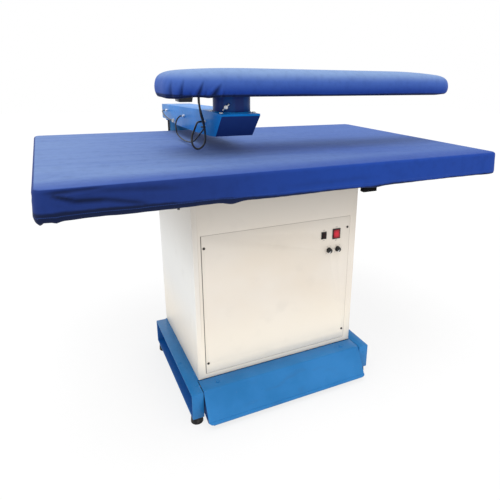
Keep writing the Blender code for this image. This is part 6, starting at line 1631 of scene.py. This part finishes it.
class IRONINGTABLE_OT_controls(bpy.types.Operator):
    """Makes the switches, knobs and the marks round them"""

    bl_idname = "ironing_table.controls"
    bl_label = "Controls"

    def execute(self, context):
        controls = settings().controls
        for node in ("power_switch_bezel", "small_switch_bezel", "power_rocker"):
            eased(node, SWITCH_EASE)
        eased("small_rocker", SWITCH_EASE, "unlit")
        marks = []
        for label in ("left", "right"):
            node = "knob_" + label
            eased(node, KNOB_EASE)
            low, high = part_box(node)
            centre = (low + high) / 2 - BOARD_MIDDLE
            radius = (high.x - low.x) / 2
            self.pointer(node, low.y, (low + high) / 2, radius)
            for number in range(controls.dial_numbers + 1):
                turn = radians(DIAL_START + DIAL_SWEEP * number / controls.dial_numbers)
                reach = radius + DIAL_GAP + controls.tick_length / 2
                marks.append(tick(centre.x + reach * sin(turn), centre.z + reach * cos(turn), turn,
                                  controls.tick_length, 0.0006))
                out = radius + DIAL_GAP + controls.tick_length + controls.mark_height * 0.42
                marks.append(mark("number", str(number), centre.x + out * sin(turn), centre.z + out * cos(turn),
                                  controls.mark_height * 0.8))
        for node in ("power_switch_bezel", "small_switch_bezel"):
            low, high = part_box(node)
            for words, z in (("ON", high.z + WORD_GAP), ("OFF", low.z - WORD_GAP)):
                marks.append(mark("word", words, middle(node).x - BOARD_MIDDLE.x, z, controls.mark_height))
        settle(joined("dial_marks", *marks), "print", "root", "cream", 30)
        return {"FINISHED"}

    def pointer(self, node, front, centre, radius):
        """The white line on a knob, which points down to the right as it was left."""
        face = Vector((centre.x, front - HAIR, centre.z))
        line = block(face + Vector((0, 0, radius * 0.45)), (radius * 0.34, 0.0006, radius * 0.85))
        bake_place(line)
        pick_faces(line, lambda spot, normal: normal.z < -0.9)
        bpy.ops.transform.resize(value=(0.4, 1, 1))
        bpy.ops.mesh.select_all(action="SELECT")
        bpy.ops.transform.rotate(value=radians(135), orient_axis="Y", center_override=face)
        done()
        line.name = node + "_line"
        apply_modifier(line, "BEVEL", width=0.00012, segments=2)
        settle(line, "white", BODY_OF[node], "black", 30)


class IRONINGTABLE_OT_base(bpy.types.Operator):
    """Rounds and enamels the base, its pedal, bolts and feet"""

    bl_idname = "ironing_table.base"
    bl_label = "Base"

    def execute(self, context):
        metal = settings().metal
        for side, outward in (("left", -1), ("right", 1)):
            rail = eased("base_rail_" + side, metal.bar_ease)
            self.ledge(side, outward)
            low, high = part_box("base_rail_" + side)
            # Painted shade inside the channel
            hollow = rail.data.attributes.new("under", "FLOAT", "FACE")
            hollow.data.foreach_set("value", [self.depth(face.center, low, high) for face in rail.data.polygons])
        for node in ("base_cross_frame", "pedal_frame"):
            eased(node, metal.sheet_ease)
        pedal_skin()
        self.cheek()
        for place in ("front_left", "front_right", "rear_left", "rear_right"):
            eased("foot_" + place, metal.bar_ease)
        bolts, top = ("pedal_bolt_left", "pedal_bolt_right"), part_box("pedal_plate")[1].z
        rows = rows_for(bolts, "_head", lambda spot: Vector((spot.x, spot.y, top + 0.0001)))
        row_of(rows, hex_bolt, size_of(bolts[0]).y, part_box(bolts[0])[1].z - top, "pedal")
        return {"FINISHED"}

    def depth(self, spot, low, high):
        """How shaded the inside of a rail's channel is: its web and the inner faces of its flanges."""
        metal = settings().metal
        shut = min(spot.y - low.y, high.y - spot.y, high.z - spot.z, spot.z - low.z)
        return metal.channel_shade if shut > 0.0025 and low.x + 0.003 < spot.x < high.x - 0.001 else 0.0

    def ledge(self, side, outward):
        """The flat strip that closes the slit between a rail and the cabinet that stands beside it."""
        metal = settings().metal
        rail_low, rail_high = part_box("base_rail_" + side)
        low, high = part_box("cabinet_shell")
        start = rail_high.x if outward < 0 else rail_low.x
        end = (low.x if outward < 0 else high.x) - outward * metal.ledge_under
        place = ((start + end) / 2, (low.y + high.y) / 2, rail_high.z - metal.ledge_thick / 2 - 0.0003)
        strip = block(place, (abs(end - start), high.y - low.y - 0.004, metal.ledge_thick))
        strip.name = "rail_ledge_" + side
        bake_place(strip)
        soften(strip, metal.sheet_ease / 2)
        settle(strip, "blue", "root", "blue")

    def cheek(self):
        """The pedal's folded left end, in the darker column enamel as painted shade in the slit beside the rail."""
        low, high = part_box("pedal_plate")
        thick, back = 0.0020, low.y + 0.100
        outline = ((low.y + 0.0600, high.z - 0.0035), (low.y + 0.0075, low.z + 0.0140),
                   (low.y + 0.0200, low.z + 0.0080), (back, low.z + 0.0300), (back, high.z - 0.0035))
        points = [(x, y, z) for x in (low.x + 0.0004, low.x + 0.0004 + thick) for y, z in outline]
        count = len(outline)
        faces = [tuple(range(count)), tuple(range(2 * count - 1, count - 1, -1))]
        faces += [(spot, spot + count, (spot + 1) % count + count, (spot + 1) % count) for spot in range(count)]
        piece = new_mesh("pedal_slit_shade", points, faces)
        edit(piece)
        bpy.ops.mesh.normals_make_consistent(inside=False)
        bpy.ops.mesh.bevel(offset=0.0003, segments=1, affect="EDGES")
        done()
        # The darker enamel is painted shade for the slit
        settle(piece, "column", "pedal", "blue")


class IRONINGTABLE_OT_arm(bpy.types.Operator):
    """Makes the swinging arm's box, the turning seat, welds, bolts and glands"""

    bl_idname = "ironing_table.arm"
    bl_label = "Arm"

    def execute(self, context):
        metal = settings().metal
        arm_skin()
        column = eased("buck_socket", metal.sheet_ease, "column")
        wider = 1 + metal.column_grow / (SOCKET_HIGH.x - SEAT.x)
        resized(column, (wider, wider, 1), SEAT)
        out = (middle("clamp_lever") - SEAT).xy.normalized() * metal.column_grow
        resized(eased("clamp_lever", KNOB_EASE), (1, 1, 1), SEAT, (*out, 0))
        eased("rear_support", metal.sheet_ease)
        self.terminal_box(metal)
        self.thermostat_box(metal)
        for name, radius, z, bead, key, body, seed in (
                ("seat_weld", SEAT_WELD, ARM_TOP, metal.weld, "arm", "swing_arm", 3),
                ("socket_weld", SOCKET_WELD, SOCKET_HIGH.z - 0.0015, metal.weld * 0.8, "column", "buck", 5)):
            weld_ring(name, Vector((SEAT.x, SEAT.y, z)), radius + metal.column_grow, bead, key, body, "blue", seed)
        rows = [("seat_bolt_%d" % number, Vector((*at(x, y, 0).xy, ARM_TOP)), "swing_arm", "zinc", ())
                for number, (x, y) in enumerate(SEAT_BOLTS, 1)]
        row_of(rows, hex_bolt, BOLT_ACROSS, BOLT_HEIGHT, "zinc")
        glands = ["arm_gland_%d" % number for number in range(1, 4)]
        reach = size_of(glands[0]).x
        rows = rows_for(glands, "_nut", lambda spot: spot + Vector((reach / 2, 0, 0)))
        row_of(rows, gland, size_of(glands[0]).z, reach)
        return {"FINISHED"}

    def thermostat_box(self, metal):
        """The black box under the board's right front, shallower than its frame's."""
        piece = eased("thermostat_box", metal.sheet_ease, "matt black")
        low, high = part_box("thermostat_box")
        resized(piece, (metal.thermostat_width, metal.thermostat_share, 1), (high.x, low.y, high.z))

    def terminal_box(self, metal):
        """The small black box under the buck, drawn in towards its lid."""
        piece = eased("buck_terminal_box", metal.sheet_ease)
        low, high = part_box("buck_terminal_box")
        resized(piece, (metal.box_share, 0.85, metal.box_deep), (low.x, (low.y + high.y) / 2, high.z),
                (metal.box_shift, 0, 0))
        floor = min(vertex.co.z for vertex in piece.data.vertices)
        pick_faces(piece, lambda spot, normal: spot.z < floor + 0.003)
        bpy.ops.transform.resize(value=(0.94, 0.9, 1))
        done()


class IRONINGTABLE_OT_inside(bpy.types.Operator):
    """Gives every other part its finish"""

    bl_idname = "ironing_table.inside"
    bl_label = "Inside"

    def execute(self, context):
        for node, piece in NODES.items():
            if not piece.hide_render:
                for holder in piece.material_slots:
                    holder.material = finish(SLOT_OF[node])
        return {"FINISHED"}


class IRONINGTABLE_PT_steps(bpy.types.Panel):
    """The steps that dress the table"""

    bl_label = "Ironing table"
    bl_idname = "IRONINGTABLE_PT_steps"
    bl_space_type = "VIEW_3D"
    bl_region_type = "UI"
    bl_category = "Ironing table"

    def draw(self, context):
        for operator in OPERATORS:
            self.layout.operator(operator.bl_idname)
        for group in ("stage", "cover", "buck", "metal", "controls"):
            holder = getattr(context.scene.ironing_table, group)
            box = self.layout.box()
            for name in holder.bl_rna.properties.keys():
                if name not in ("rna_type", "name"):
                    box.prop(holder, name)


GROUPS = (StageSettings, CoverSettings, BuckSettings, MetalSettings, ControlSettings, TableSettings)
OPERATORS = (IRONINGTABLE_OT_stage, IRONINGTABLE_OT_leads, IRONINGTABLE_OT_board_cloth, IRONINGTABLE_OT_buck_cloth,
             IRONINGTABLE_OT_cabinet, IRONINGTABLE_OT_controls, IRONINGTABLE_OT_base, IRONINGTABLE_OT_arm,
             IRONINGTABLE_OT_inside)


def register():
    """Adds the settings, operators and panel to Blender."""
    for item in (*GROUPS, *OPERATORS, IRONINGTABLE_PT_steps):
        bpy.utils.register_class(item)
    bpy.types.Scene.ironing_table = PointerProperty(type=TableSettings)


def unregister():
    """Takes them out again."""
    del bpy.types.Scene.ironing_table
    for item in reversed((*GROUPS, *OPERATORS, IRONINGTABLE_PT_steps)):
        bpy.utils.unregister_class(item)


def main():
    """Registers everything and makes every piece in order."""
    register()
    bpy.ops.ironing_table.stage()
    bpy.ops.ironing_table.leads()
    bpy.ops.ironing_table.board_cloth()
    bpy.ops.ironing_table.buck_cloth()
    bpy.ops.ironing_table.cabinet()
    bpy.ops.ironing_table.controls()
    bpy.ops.ironing_table.base()
    bpy.ops.ironing_table.arm()
    bpy.ops.ironing_table.inside()
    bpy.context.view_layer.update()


if __name__ == "__main__":
    main()
